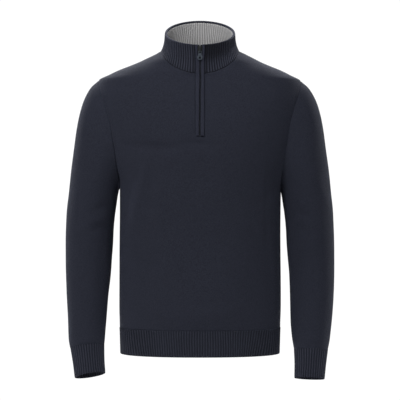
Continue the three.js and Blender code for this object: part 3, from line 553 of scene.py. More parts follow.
@dataclass
class ClothGrid:
    """Rows and columns of points on a smooth surface, which become one cloth mesh."""

    points: Array
    lengths: Array
    wrap: bool = False
    inward: bool = False
    rib: Array | None = None

    @cached_property
    def normals(self) -> Array:
        """Unit normals that point away from the middle of each row, or towards it if inward.

        Returns:
            One normal for each point.
        """
        points = self.points
        if self.wrap:
            points = np.concatenate([points[:, -2:-1], points, points[:, 1:2]], axis=1)
        down = np.gradient(points, axis=0)
        along = np.gradient(points, axis=1)
        normals = np.cross(along, down)
        if self.wrap:
            normals = normals[:, 1:-1]
        normals = unit(normals)
        middle = self.points.mean(axis=1, keepdims=True)
        outward = np.sum(normals * (self.points - middle)) > 0
        return normals if outward != self.inward else -normals

    def pushed(self, rise: Array) -> "ClothGrid":
        """The same cloth with its points moved along their normals, in millimetres.

        Args:
            rise: how far out each point moves, in millimetres.

        Returns:
            The moved cloth.
        """
        moved = self.points + self.normals * rise[..., None]
        if self.wrap:
            moved[:, -1] = moved[:, 0]
        return replace(self, points=moved)

    def tucked(self, last: bool, reach: float = 1.2, depth: float = 1.1) -> "ClothGrid":
        """The cloth with a seam allowance that hides behind the next piece.

        Args:
            last: whether it continues the last row, or else the first.
            reach: how far it goes on, in millimetres.
            depth: how far in it lies, in millimetres.

        Returns:
            The cloth with one more row.
        """
        edge, inside = (-1, -2) if last else (0, 1)
        run = unit(self.points[edge] - self.points[inside])
        hidden = self.points[edge] + run * reach - self.normals[edge] * depth

        def joined(rows: Array, row: Array) -> Array:
            """The rows with one more at the chosen end."""
            return np.concatenate([rows, row[None]] if last else [row[None], rows])

        rib = None if self.rib is None else joined(self.rib, self.rib[edge])
        lengths = joined(self.lengths, self.lengths[edge])
        return replace(self, points=joined(self.points, hidden), lengths=lengths, rib=rib)

    def edge_distance(self, last: bool) -> Array:
        """Distance of each point along its row from one end of the row.

        Args:
            last: whether it is measured from the last point, or else the first.

        Returns:
            The distances, in millimetres.
        """
        if last:
            return run_along(self.points[:, ::-1], 1)[:, ::-1]
        return run_along(self.points, 1)

    def mesh(self, name: str, is_open: Array | None = None, close_ends: bool = False) -> Piece:
        """Builds the cloth from a bmesh grid.

        Args:
            name: the piece's name.
            is_open: True for each cell that is left out, such as a slit.
            close_ends: whether the first and last rows are capped.

        Returns:
            The new object, in metres, with a UV map in metres of cloth.
        """
        rows, columns = self.points.shape[:2]
        bm = bmesh.new()
        bmesh.ops.create_grid(bm, x_segments=columns - 1, y_segments=rows - 1, size=0.5)
        bm.verts.ensure_lookup_table()
        bm.faces.ensure_lookup_table()
        uv_layer = bm.loops.layers.uv.new("UVMap")
        rib_layer = bm.verts.layers.float.new("rib")
        rib = np.zeros((rows, columns)) if self.rib is None else self.rib
        places = [(round((v.co.y + 0.5) * (rows - 1)), round((v.co.x + 0.5) * (columns - 1)))
                  for v in bm.verts]
        lengths = self.lengths * MM
        for bm_face in bm.faces:
            for loop in bm_face.loops:
                row, column = places[loop.vert.index]
                loop[uv_layer].uv = lengths[row, column]
        for vertex, (row, column) in zip(bm.verts, places):
            vertex.co = self.points[row, column] * MM
            vertex[rib_layer] = rib[row, column]
        bm.normal_update()
        # One face away from the grid's edges tells which way all of them face
        probe = bm.faces[len(bm.faces) // 3]
        row, column = places[probe.verts[0].index]
        if probe.normal.dot(Vector(self.normals[row, column])) < 0:
            bmesh.ops.reverse_faces(bm, faces=bm.faces)
        if is_open is not None:
            cut = [bm_face for bm_face in bm.faces
                   if is_open[tuple(np.min([places[v.index] for v in bm_face.verts], axis=0))]]
            bmesh.ops.delete(bm, geom=cut, context="FACES")
        if self.wrap:
            bmesh.ops.remove_doubles(bm, verts=bm.verts, dist=DOUBLES)
        if close_ends:
            rims = [edge for edge in bm.edges if edge.is_boundary]
            bmesh.ops.holes_fill(bm, edges=rims, sides=0)
        return finished(bm, name)


@dataclass(frozen=True)
class Cut:
    """The flat cut of the cloth that shows: its width, its length and its own area, in metres."""

    width: float
    length: float
    area: float

    def state(self, piece: Piece) -> None:
        """Does nothing with the piece."""


def finished(bm: bmesh.types.BMesh, name: str, smooth: bool = True) -> Piece:
    """Turns a bmesh into an object at the origin.

    Args:
        bm: the shape in metres, which is freed.
        name: the piece's name.
        smooth: whether its faces are shaded smooth.

    Returns:
        The new object.
    """
    for bm_face in bm.faces:
        bm_face.smooth = smooth
    mesh = bpy.data.meshes.new(name)
    bm.to_mesh(mesh)
    bm.free()
    piece = bpy.data.objects.new(name, mesh)
    bpy.context.scene.collection.objects.link(piece)
    return piece


def walled(piece: Piece, thickness: float) -> Piece:
    """Gives an open cloth its wall, inward from its outer face.

    Args:
        piece: the cloth.
        thickness: the wall's thickness, in millimetres.

    Returns:
        The same piece.
    """
    solidify = piece.modifiers.new("wall", "SOLIDIFY")
    solidify.thickness = thickness * MM
    solidify.offset = -1
    return piece


def mirrored(grid: ClothGrid, side: Side) -> ClothGrid:
    """A grid that was drawn for +X, put on its own side."""
    return replace(grid, points=grid.points * np.array([side.value, 1, 1]))


class NodeSet:
    """Adds and links shader nodes with short calls."""

    def __init__(self, tree: bpy.types.NodeTree) -> None:
        """Keeps the tree that nodes are added to."""
        self.tree = tree

    def add(self, kind: str, **values: object) -> bpy.types.Node:
        """Adds a node and sets the named properties on it.

        Args:
            kind: the node's type.
            values: its properties by name.

        Returns:
            The new node.
        """
        node = self.tree.nodes.new(kind)
        for key, value in values.items():
            setattr(node, key, value)
        return node

    def link(self, source: Socket, target: Socket) -> None:
        """Links one socket to another."""
        self.tree.links.new(source, target)

    def math(self, operation: str, *inputs: Socket | float) -> Socket:
        """Adds a Math node.

        Args:
            operation: the node's operation.
            inputs: up to three sockets or numbers.

        Returns:
            Its output socket.
        """
        node = self.add("ShaderNodeMath", operation=operation)
        for slot, value in zip(node.inputs, inputs):
            if isinstance(value, (int, float)):
                slot.default_value = value
            else:
                self.link(value, slot)
        return node.outputs[0]

    def bump(self, height: Socket, distance: float, strength: float = 1.0) -> Socket:
        """Adds a Bump node.

        Args:
            height: the relief.
            distance: its depth, in metres.
            strength: how much of it is used.

        Returns:
            The node's normal.
        """
        node = self.add("ShaderNodeBump")
        node.inputs["Distance"].default_value = distance
        node.inputs["Strength"].default_value = strength
        self.link(height, node.inputs["Height"])
        return node.outputs["Normal"]

    def blend(self, share: Socket | float, low: Socket | Triple, high: Socket | Triple) -> Socket:
        """Adds a colour Mix node.

        Args:
            share: how much of the second colour is mixed in.
            low: the first colour or socket.
            high: the second colour or socket.

        Returns:
            Its colour output.
        """
        node = self.add("ShaderNodeMix", data_type="RGBA", blend_type="MIX")
        for index, value in ((0, share), (6, low), (7, high)):
            if isinstance(value, Socket):
                self.link(value, node.inputs[index])
            elif index == 0:
                node.inputs[index].default_value = value
            else:
                node.inputs[index].default_value = (*value[:3], 1)
        return node.outputs[2]


def new_group(name: str, inputs: dict[str, float | None], outputs: list[str]) -> NodeSet:
    """Starts a shader node group.

    Args:
        name: the group's name.
        inputs: socket names with a default number, or None for a vector.
        outputs: names of the number outputs.

    Returns:
        A NodeSet that adds to the group's tree.
    """
    tree = bpy.data.node_groups.new(name, "ShaderNodeTree")
    for label, value in inputs.items():
        kind = "NodeSocketVector" if value is None else "NodeSocketFloat"
        socket = tree.interface.new_socket(label, in_out="INPUT", socket_type=kind)
        if value is not None:
            socket.default_value = value
    for label in outputs:
        tree.interface.new_socket(label, in_out="OUTPUT", socket_type="NodeSocketFloat")
    return NodeSet(tree)


@dataclass
class Effects:
    """The node groups that several finishes share."""

    arm_climb: float = 0.8
    leg_power: float = 0.5

    @cached_property
    def stitches(self) -> bpy.types.NodeTree:
        """Knit stitches: a column of V shapes for each wale, as a height.

        Returns:
            The group's tree.
        """
        nodes = new_group("knit_stitches", {"Vector": None, "Wale": 0.0017, "Course": 0.0013}, ["Height"])
        start = nodes.add("NodeGroupInput")
        end = nodes.add("NodeGroupOutput")
        split = nodes.add("ShaderNodeSeparateXYZ")
        nodes.link(start.outputs["Vector"], split.inputs[0])
        across = nodes.math("FRACT", nodes.math("DIVIDE", split.outputs[0], start.outputs["Wale"]))
        arm = nodes.math("MULTIPLY", nodes.math("ABSOLUTE", nodes.math("SUBTRACT", across, 0.5)), 2.0)
        courses = nodes.math("DIVIDE", split.outputs[1], start.outputs["Course"])
        climb = nodes.math("MULTIPLY_ADD", arm, self.arm_climb, courses)
        leg = nodes.math("SINE", nodes.math("MULTIPLY", nodes.math("FRACT", climb), math.pi))
        bulge = nodes.math("SINE", nodes.math("MULTIPLY", arm, math.pi))
        round_leg = nodes.math("POWER", nodes.math("MULTIPLY", leg, bulge), self.leg_power)
        nodes.link(round_leg, end.inputs["Height"])
        return nodes.tree

    @cached_property
    def marl(self) -> bpy.types.NodeTree:
        """Melange: short fibres and small patches of yarn that are lighter or darker."""
        return self.noises("marl", {"Fibres": ("Fibre", 800.0, 3.0), "Patches": ("Patch", 400.0, 2.0)})

    @cached_property
    def broad_tone(self) -> bpy.types.NodeTree:
        """Slow changes of tone over a whole piece, from dyeing and pressing."""
        return self.noises("broad_tone", {"Tone": ("Scale", 7.0, 2.0)})

    @staticmethod
    def noises(name: str, fields: dict[str, tuple[str, float, float]]) -> bpy.types.NodeTree:
        """A group of noise patterns.

        Args:
            name: the group's name.
            fields: for each output, its scale's input, that input's default and the detail.

        Returns:
            The group's tree.
        """
        scales = {label: scale for label, scale, _ in fields.values()}
        nodes = new_group(name, {"Vector": None, **scales}, list(fields))
        start = nodes.add("NodeGroupInput")
        end = nodes.add("NodeGroupOutput")
        for output, (label, _, detail) in fields.items():
            noise = nodes.add("ShaderNodeTexNoise", noise_dimensions="3D")
            noise.inputs["Detail"].default_value = detail
            nodes.link(start.outputs["Vector"], noise.inputs["Vector"])
            nodes.link(start.outputs[label], noise.inputs["Scale"])
            nodes.link(noise.outputs["Fac"], end.inputs[output])
        return nodes.tree

    @staticmethod
    def place(nodes: NodeSet, tree: bpy.types.NodeTree, vector: Socket, **values: float) -> bpy.types.Node:
        """Puts a group in a material, on a vector and with the material's own values.

        Args:
            nodes: the material's nodes.
            tree: the group's tree.
            vector: the coordinates that it reads.
            values: its other inputs by name.

        Returns:
            The group's node.
        """
        node = nodes.add("ShaderNodeGroup", node_tree=tree)
        nodes.link(vector, node.inputs["Vector"])
        for label, value in values.items():
            node.inputs[label].default_value = value
        return node


EFFECTS = Effects()


@dataclass(frozen=True)
class Finish:
    """What every finish has: its material's name, its slot and its main colour."""

    name: str
    slot: str
    colour: Triple

    @cached_property
    def material(self) -> bpy.types.Material:
        """The finish as a material, which each kind of finish makes once."""
        raise NotImplementedError

    def started(self) -> tuple[bpy.types.Material, NodeSet, bpy.types.Node, bpy.types.Node]:
        """Starts the material.

        Returns:
            The material, a NodeSet for it, its shader and its texture coordinates.
        """
        material = bpy.data.materials.new(self.name)
        material.use_nodes = True
        nodes = NodeSet(material.node_tree)
        shader = material.node_tree.nodes["Principled BSDF"]
        return material, nodes, shader, nodes.add("ShaderNodeTexCoord")

    def shade(self, share: float) -> Triple:
        """The main colour at a share of its strength."""
        return tuple(share * channel for channel in self.colour)

    def dress(self, piece: Piece) -> None:
        """Puts the finish on a piece, as its only material.

        Args:
            piece: the piece.
        """
        piece.data.materials.clear()
        piece.data.materials.append(self.material)


@dataclass(frozen=True)
class KnitFinish(Finish):
    """A knitted yarn: its colour, its stitches and its bloom of fibres."""

    # The lighter yarn of the marl, which is also the colour of the painted highlight on rib crests
    light: Triple
    # How strongly painted shade darkens the rib valleys and a painted highlight lightens the crests
    valley: float = 0.0
    crest: float = 0.0
    wale: float = 0.0017
    course: float = 0.0013
    marl: float = 0.6
    relief: float = 0.0004
    sheen: float = 0.04
    sheen_roughness: float = 0.4
    sheen_tint: Triple = (0.6, 0.66, 1.0)
    roughness: float = 0.92
    roughness_spread: float = 0.08
    specular: float = 0.12
    # Fibres against patches, and how sharply the light yarn parts from the dark
    fibre_share: float = 0.6
    contrast: float = 5.5
    # Broad tone: its strength, its start and its shade of the main colour
    tone: float = 0.3
    tone_start: float = -0.05
    tone_shade: float = 0.72
    # Painted shade in the gaps between the stitches and in the rib valleys, and a painted highlight on the
    # rib crests
    gaps: float = 0.45
    gap_shade: float = 0.35
    valley_power: float = 1.2
    valley_shade: float = 0.25
    crest_power: float = 2.0
    bump_strength: float = 0.8

    @cached_property
    def material(self) -> bpy.types.Material:
        """The finish as a material, made once.

        Returns:
            The material.
        """
        material, nodes, shader, coords = self.started()
        marl = EFFECTS.place(nodes, EFFECTS.marl, coords.outputs["Object"])
        tone = EFFECTS.place(nodes, EFFECTS.broad_tone, coords.outputs["Object"])
        knit = EFFECTS.place(nodes, EFFECTS.stitches, coords.outputs["UV"],
                             Wale=self.wale, Course=self.course)
        fibres = marl.outputs["Fibres"]
        patches = nodes.math("MULTIPLY", marl.outputs["Patches"], 1 - self.fibre_share)
        heather = nodes.math("MULTIPLY_ADD", fibres, self.fibre_share, patches)
        spread = nodes.math("MULTIPLY_ADD", nodes.math("SUBTRACT", heather, 0.5), self.contrast, 0.5)
        held = nodes.math("MINIMUM", nodes.math("MAXIMUM", spread, 0.0), 1.0)
        yarn = nodes.blend(nodes.math("MULTIPLY", held, self.marl), self.colour, self.light)
        slow = nodes.math("MULTIPLY_ADD", tone.outputs["Tone"], self.tone, self.tone_start)
        toned = nodes.blend(slow, yarn, self.shade(self.tone_shade))
        # Painted shade in the gaps between the stitches
        gaps = nodes.math("MULTIPLY_ADD", knit.outputs["Height"], -self.gaps, self.gaps)
        surface = nodes.blend(gaps, toned, self.shade(self.gap_shade))
        if self.valley:
            surface = self.ribbed(nodes, surface)
        nodes.link(surface, shader.inputs["Base Color"])
        fuzz = nodes.math("MULTIPLY_ADD", fibres, self.fibre_share, knit.outputs["Height"])
        nodes.link(nodes.bump(fuzz, self.relief, self.bump_strength), shader.inputs["Normal"])
        rough = nodes.math("MULTIPLY_ADD", fibres, self.roughness_spread,
                           self.roughness - self.roughness_spread / 2)
        nodes.link(rough, shader.inputs["Roughness"])
        shader.inputs["Specular IOR Level"].default_value = self.specular
        shader.inputs["Sheen Weight"].default_value = self.sheen
        shader.inputs["Sheen Roughness"].default_value = self.sheen_roughness
        shader.inputs["Sheen Tint"].default_value = (*self.sheen_tint, 1)
        return material

    def ribbed(self, nodes: NodeSet, surface: Socket) -> Socket:
        """Paints shade into the rib's valleys and a highlight on its crests.

        Args:
            nodes: the material's nodes.
            surface: the colour before the ribs.

        Returns:
            The colour with them, by the piece's own rib attribute.
        """
        rib = nodes.add("ShaderNodeAttribute", attribute_name="rib").outputs["Fac"]
        low = nodes.math("POWER", nodes.math("SUBTRACT", 1.0, rib), self.valley_power)
        dark = nodes.blend(nodes.math("MULTIPLY", low, self.valley), surface,
                           self.shade(self.valley_shade))
        high = nodes.math("MULTIPLY", nodes.math("POWER", rib, self.crest_power), self.crest)
        return nodes.blend(high, dark, self.light)


@dataclass(frozen=True)
class MetalFinish(Finish):
    """A plated zinc casting or a moulded tooth, rubbed lighter in places."""

    rubbed: Triple
    metallic: float = 0.8
    roughness: float = 0.4
    roughness_spread: float = 0.2
    specular: float = 0.2
    relief: float = 0.00006
    wear: float = 1.6
    wear_power: float = 2.0
    wear_scale: float = 260.0
    scratch_scale: float = 1040.0
    # Half width of the nose, beyond which painted shade darkens the sides, and how
    nose: float = 0.0
    side_power: float = 4.0
    side_shade: float = 0.2

    @cached_property
    def material(self) -> bpy.types.Material:
        """The finish as a material, made once.

        Returns:
            The material.
        """
        material, nodes, shader, coords = self.started()
        place = coords.outputs["Object"]
        wear = EFFECTS.place(nodes, EFFECTS.marl, place, Fibre=self.scratch_scale, Patch=self.wear_scale)
        rubs = nodes.math("POWER", wear.outputs["Patches"], self.wear_power)
        surface = nodes.blend(nodes.math("MULTIPLY", rubs, self.wear), self.colour, self.rubbed)
        if self.nose:
            # Painted shade on the sides beyond the nose
            split = nodes.add("ShaderNodeSeparateXYZ")
            nodes.link(place, split.inputs[0])
            aside = nodes.math("DIVIDE", nodes.math("ABSOLUTE", split.outputs[0]), self.nose)
            off = nodes.math("POWER", nodes.math("MINIMUM", aside, 1.0), self.side_power)
            surface = nodes.blend(off, surface, self.shade(self.side_shade))
        nodes.link(surface, shader.inputs["Base Color"])
        scratches = wear.outputs["Fibres"]
        rough = nodes.math("MULTIPLY_ADD", scratches, self.roughness_spread,
                           self.roughness - self.roughness_spread / 2)
        nodes.link(rough, shader.inputs["Roughness"])
        nodes.link(nodes.bump(scratches, self.relief), shader.inputs["Normal"])
        shader.inputs["Metallic"].default_value = self.metallic
        shader.inputs["Specular IOR Level"].default_value = self.specular
        return material


JERSEY = KnitFinish(
    name="navy_jersey",
    slot="jersey_navy",
    colour=(0.0146, 0.0163, 0.0257),
    light=(0.0322, 0.036, 0.053),
)
NAVY_RIB = KnitFinish(
    name="navy_rib",
    slot="rib_navy",
    colour=(0.0195, 0.0215, 0.0332),
    light=(0.0435, 0.048, 0.0695),
    valley=0.95,
    crest=0.2,
)
# The cuffs' navy rib yarn, coloured darker here as painted shade on the collar
COLLAR_RIB = KnitFinish(
    name="navy_collar_rib",
    slot="rib_navy",
    colour=(0.0145, 0.016, 0.025),
    light=(0.04, 0.044, 0.064),
    valley=1.0,
    crest=0.4,
    sheen=0.1,
    sheen_roughness=0.3,
)
# The cuffs' navy rib yarn, coloured darker here as painted shade on the low hem
HEM_RIB = KnitFinish(
    name="navy_hem_rib",
    slot="rib_navy",
    colour=(0.0143, 0.016, 0.0248),
    light=(0.0365, 0.0403, 0.0585),
    valley=0.95,
    crest=0.3,
)
GREY_RIB = KnitFinish(
    name="grey_rib",
    slot="rib_grey",
    colour=(0.42, 0.416, 0.42),
    light=(0.52, 0.515, 0.52),
    valley=0.75,
    marl=0.3,
    sheen=0.1,
    sheen_tint=(1, 1, 1),
)
BAND_KNIT = KnitFinish(
    name="navy_band",
    slot="band_navy",
    colour=(0.0185, 0.0205, 0.0325),
    light=(0.036, 0.0385, 0.058),
    wale=0.0013,
    course=0.0011,
)
TAPE_WEAVE = KnitFinish(
    name="zip_tape_weave",
    slot="zip_tape",
    colour=(0.006, 0.0068, 0.0104),
    light=(0.013, 0.015, 0.022),
    wale=0.0009,
    course=0.0009,
    relief=0.0002,
)
TEETH = MetalFinish(
    name="zip_teeth_dark",
    slot="zip_teeth",
    colour=(0.007, 0.0081, 0.0125),
    rubbed=(0.0175, 0.02, 0.028),
    metallic=0.2,
)
PULL_METAL = MetalFinish(
    name="pull_gunmetal",
    slot="slider_metal",
    colour=(0.017, 0.0225, 0.0295),
    rubbed=(0.04, 0.049, 0.064),
    metallic=0.25,
    roughness=0.6,
)
# Darker than the pull's metal, which shares its slot, as painted shade on the slider
SLIDER_METAL = MetalFinish(
    name="slider_gunmetal",
    slot="slider_metal",
    colour=(0.009, 0.012, 0.0128),
    rubbed=(0.021, 0.0255, 0.0265),
    metallic=0.25,
    roughness=0.6,
    nose=0.0017,
)


def entered(piece: Piece, finish: Finish, node: str | None = None, cut: Cut | None = None,
            body: str = GARMENT) -> Piece:
    """Dresses a new piece and enters it in the record.

    Args:
        piece: the new piece.
        finish: its finish.
        node: the solid that it stands for, if there is one.
        cut: its flat cut, if it is cloth.
        body: the body that it rides on.

    Returns:
        The same piece.
    """
    finish.dress(piece)
    if node:
        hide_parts(node)
    if cut:
        cut.state(piece)
    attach(piece, body)
    return piece


@dataclass(frozen=True)
class SeamLine:
    """The relief of a linked seam: a fine groove with a slight ridge beside it."""

    groove: float = 0.35
    groove_reach: float = 1.6
    ridge: float = 0.3
    ridge_place: float = 3.8
    ridge_reach: float = 1.7

    def relief(self, distance: Array) -> Array:
        """How far the cloth is moved out, by its distance from the seam, in millimetres."""
        ridge = self.ridge * bell(distance - self.ridge_place, self.ridge_reach)
        return ridge - self.groove * bell(distance, self.groove_reach)


SEAM = SeamLine()


@dataclass
class Panel:
    """One half of the body: fine jersey, cut out at the armholes, the neck and the zip."""

    face: Face
    torso: Torso
    lay: Lay
    wall: float = 2.2
    seam_gap: float = 0.3
    rows_below_armpit: int = 84
    rows_to_slit: int = 36
    rows_beside_slit: int = 36
    rows_along_neck: int = 60
    columns: int = 56
    beside_seam: Triple = (0.004, 0.008, 0.012)
    strip_columns: int = 3
    dip_left: float = 1.9
    dip_right: float = 0.7
    dip_reach: float = 1.8
    held_by_hem: float = 20
    held_by_neck: float = 16
    cut: Cut = Cut(0.531, 0.672, 0.2885)

    @property
    def back(self) -> bool:
        """Whether this is the back panel."""
        return self.face is Face.BACK

    def rows(self) -> tuple[Array, Array, Array, Array, Array]:
        """Where each row begins beside the centre, and where it ends at the side.

        Returns:
            Turn and height at the start, turn and height at the end, and the height in the middle.
        """
        torso = self.torso
        below = np.linspace(torso.hem_seam, torso.armpit, self.rows_below_armpit, endpoint=False)
        to_slit = np.linspace(torso.armpit, torso.slit_end, self.rows_to_slit, endpoint=False)
        knots = np.linspace(torso.slit_angle, 90, self.rows_along_neck)
        neck_turn, neck_z = torso.neckline(180 - knots if self.back else knots)
        beside = np.linspace(torso.slit_end, neck_z[0], self.rows_beside_slit, endpoint=False)
        centre_z = np.concatenate([below, to_slit, beside])
        start_turn = torso.turn_at_width(torso.slit_half, centre_z, self.back)
        start_turn = np.concatenate([start_turn, neck_turn])
        start_z = np.concatenate([centre_z, neck_z])
        middle_z = np.concatenate([centre_z, np.full(len(knots), neck_z[0])])
        above = len(start_z) - len(below)
        ring = np.linspace(180, 0, above)
        arm_turn, arm_z = torso.armhole(ring, self.back)
        end_turn = np.concatenate([np.full(len(below), 90.0), arm_turn])
        end_z = np.concatenate([below, arm_z])
        return start_turn, start_z, end_turn, end_z, middle_z

    def shares(self) -> Array:
        """Places of the columns along a row, closer together beside the seams.

        Returns:
            Shares from 0 beside the centre to 1 at the side.
        """
        plain = np.linspace(0, 1, self.columns)
        beside = np.array(self.beside_seam)
        return np.unique(np.concatenate([plain, beside, 1 - beside, 1 - 2 * beside]))

    def grid(self) -> tuple[ClothGrid, Array]:
        """The panel's smooth cloth, and the cells of the zip opening and the neck.

        Returns:
            The cloth, and True for each cell that stays open.
        """
        start_turn, start_z, end_turn, end_z, middle_z = self.rows()
        share = self.shares()
        centre = 180.0 if self.back else 0.0
        half_turn = mix(start_turn[:, None], end_turn[:, None], share)
        half_z = mix(start_z[:, None], end_z[:, None], share)
        inner = np.linspace(0, 1, self.strip_columns, endpoint=False)
        strip_turn = mix(centre, start_turn[:, None], inner)
        strip_z = mix(middle_z[:, None], start_z[:, None], inner)
        turn = np.concatenate([strip_turn, half_turn], axis=1)
        z = np.concatenate([strip_z, half_z], axis=1)
        right = self.torso.point(turn, z)
        right[..., 1] += self.face.value * self.seam_gap / 2
        places = self.torso.wale_place(turn, z)
        left = right[:, :0:-1] * np.array([-1, 1, 1])
        left_places = places[:, :0:-1] * np.array([-1, 1])
        points = np.concatenate([left, right], axis=1)
        lengths = np.concatenate([left_places, places], axis=1)
        edge = len(inner)
        strip = slice(len(share) - 1, len(share) - 1 + 2 * edge)
        is_open = np.zeros((points.shape[0] - 1, points.shape[1] - 1), bool)
        first = self.rows_below_armpit + self.rows_to_slit
        if self.back:
            first += self.rows_beside_slit
        is_open[first:, strip] = True
        return ClothGrid(points, lengths), is_open

    def seam_distance(self, grid: ClothGrid) -> tuple[Array, Array]:
        """How far each point is from the seams.

        Args:
            grid: the panel's smooth cloth.

        Returns:
            The distance to the side seams, armholes and neckline, and to the neckline alone.
        """
        distance = np.minimum(grid.edge_distance(True), grid.edge_distance(False))
        neck = np.full_like(distance, np.inf)
        rows, columns = distance.shape
        middle = columns // 2
        neck_row = rows - self.rows_along_neck
        edge = (columns - 1 - 2 * (len(self.shares()) - 1)) // 2
        for row in range(neck_row, rows):
            run = run_along(grid.points[row, middle + edge:])
            neck[row, middle + edge:] = run
            neck[row, :middle - edge + 1] = run[::-1]
        return np.minimum(distance, neck), neck

    def zip_relief(self, grid: ClothGrid) -> Array:
        """The dip of the cloth beside the zip, deeper on the left.

        Args:
            grid: the panel's smooth cloth.

        Returns:
            The move along each normal, in millimetres.
        """
        if self.back:
            return np.zeros(grid.points.shape[:-1])
        x = grid.points[..., 0]
        beside = np.maximum(np.abs(x) - self.torso.slit_half, 0)
        below = np.maximum(self.torso.slit_end - grid.points[..., 2], 0)
        depth = np.where(x > 0, self.dip_left, self.dip_right)
        return -depth * bell(np.sqrt(beside**2 + 2 * below**2), self.dip_reach)

    def build(self) -> Piece:
        """Builds and dresses the panel.

        Returns:
            The new piece.
        """
        grid, is_open = self.grid()
        distance, neck = self.seam_distance(grid)
        up = grid.points[..., 2] - self.torso.hem_seam
        free = soft_step(up, 0, self.held_by_hem) * soft_step(neck, 0, self.held_by_neck)
        relief = SEAM.relief(distance) + self.zip_relief(grid)
        relief += self.lay.relief(grid.points, grid.normals, free)
        piece = walled(grid.pushed(relief).mesh(f"{self.face.word}_panel", is_open), self.wall)
        return entered(piece, JERSEY, f"body_{self.face.word}", self.cut)


@dataclass
class Sleeve:
    """A set-in sleeve of jersey, closed along the underarm."""

    side: Side
    torso: Torso
    arm: ArmForm
    lay: Lay
    wall: float = 2.2
    rings: int = 150
    columns: int = 104
    beside_seam: tuple[float, ...] = (0.002, 0.004, 0.006, 0.009)
    seam_gap: float = 0.3
    gap_reach: float = 0.02
    held_by_cuff: float = 0.035
    cut: Cut = Cut(0.368, 0.607, 0.174)

    def grid(self) -> ClothGrid:
        """The sleeve's smooth cloth. Its column seam is at the underarm.

        Returns:
            The cloth, on its own side.
        """
        beside = np.array(self.beside_seam)
        share = np.unique(np.concatenate([np.linspace(0, 1, self.rings), beside, 1 - beside]))
        ring = np.linspace(-180, 180, self.columns + 1)
        rings, shares = np.meshgrid(ring, share)
        points = self.arm.sleeve(self.torso, self.side, rings, shares)
        points[..., 0] += self.seam_gap * (1 - soft_step(shares, 0, self.gap_reach))
        around = run_along(points[..., :2], 1)
        around -= around[:, self.columns // 2][:, None]
        lengths = np.stack([around, points[..., 2]], axis=-1)
        return mirrored(ClothGrid(points, lengths, wrap=True), self.side)

    def build(self) -> Piece:
        """Builds and dresses the sleeve, with a groove where it is set in.

        Returns:
            The new piece.
        """
        grid = self.grid()
        above = np.linspace(1, 0, len(grid.points))[:, None]
        relief = self.lay.relief(grid.points, grid.normals, soft_step(above, 0, self.held_by_cuff))
        relief += SEAM.relief(run_along(grid.points))
        piece = walled(grid.pushed(relief).tucked(False).mesh(f"{self.side.word}_sleeve"), self.wall)
        return entered(piece, JERSEY, f"sleeve_{self.side.word}", self.cut)


@dataclass
class RibCloth:
    """What every ribbed piece shares: its wall, its ribs and their steps."""

    wall: float = 1.9
    rise: float = 1.1
    base: float = -0.3
    steps_per_rib: int = 6
    crest_power: float = 0.75

    def wave(self, phase: Array) -> Array:
        """A rib's height from 0 in the valley to 1 on the crest, for a phase counted in ribs."""
        return (0.5 - 0.5 * np.cos(2 * np.pi * phase)) ** self.crest_power

    def bulge(self, wave: Array) -> Array:
        """How far a rib stands out of the wall, in millimetres."""
        return self.base + self.rise * wave


@dataclass
class Cuff:
    """The ribbed tube below a sleeve."""

    side: Side
    arm: ArmForm
    cloth: RibCloth = field(default_factory=RibCloth)
    ribs: int = 38
    rows: int = 22
    # How far the ribs sway, in degrees, and the waves of the sway down the cuff
    sway: float = 1.6
    sway_waves: float = 2.6
    sway_start: float = 0.4
    edge_from: float = 0.93
    edge_thinner: float = 0.4
    cut: Cut = Cut(0.231, 0.064, 0.0147)

    def build(self) -> Piece:
        """Builds and dresses the cuff.

        Returns:
            The new piece.
        """
        columns = self.ribs * self.cloth.steps_per_rib
        ring = np.linspace(-180, 180, columns + 1)
        rings, shares = np.meshgrid(ring, np.linspace(0, 1, self.rows))
        down = np.sin(self.sway_waves * shares + self.sway_start)
        sway = self.sway * np.sin(np.radians(2 * rings)) * down
        points = self.arm.tube(self.arm.cuff_rows(self.side), rings + sway, shares)
        depth = run_along(points).mean(axis=1)[:, None] + np.zeros_like(rings)
        phase = rings / 360 * self.ribs
        pitch = run_along(points[0])[-1] / self.ribs
        wave = self.cloth.wave(phase + 0.5)
        grid = ClothGrid(points, np.stack([phase * pitch, -depth], axis=-1), wrap=True, rib=wave)
        rise = self.cloth.bulge(wave) * (1 - self.edge_thinner * soft_step(shares, self.edge_from, 1))
        grid = mirrored(grid.pushed(rise).tucked(False), self.side)
        piece = walled(grid.mesh(f"{self.side.word}_cuff"), self.cloth.wall)
        return entered(piece, NAVY_RIB, f"cuff_{self.side.word}", self.cut)


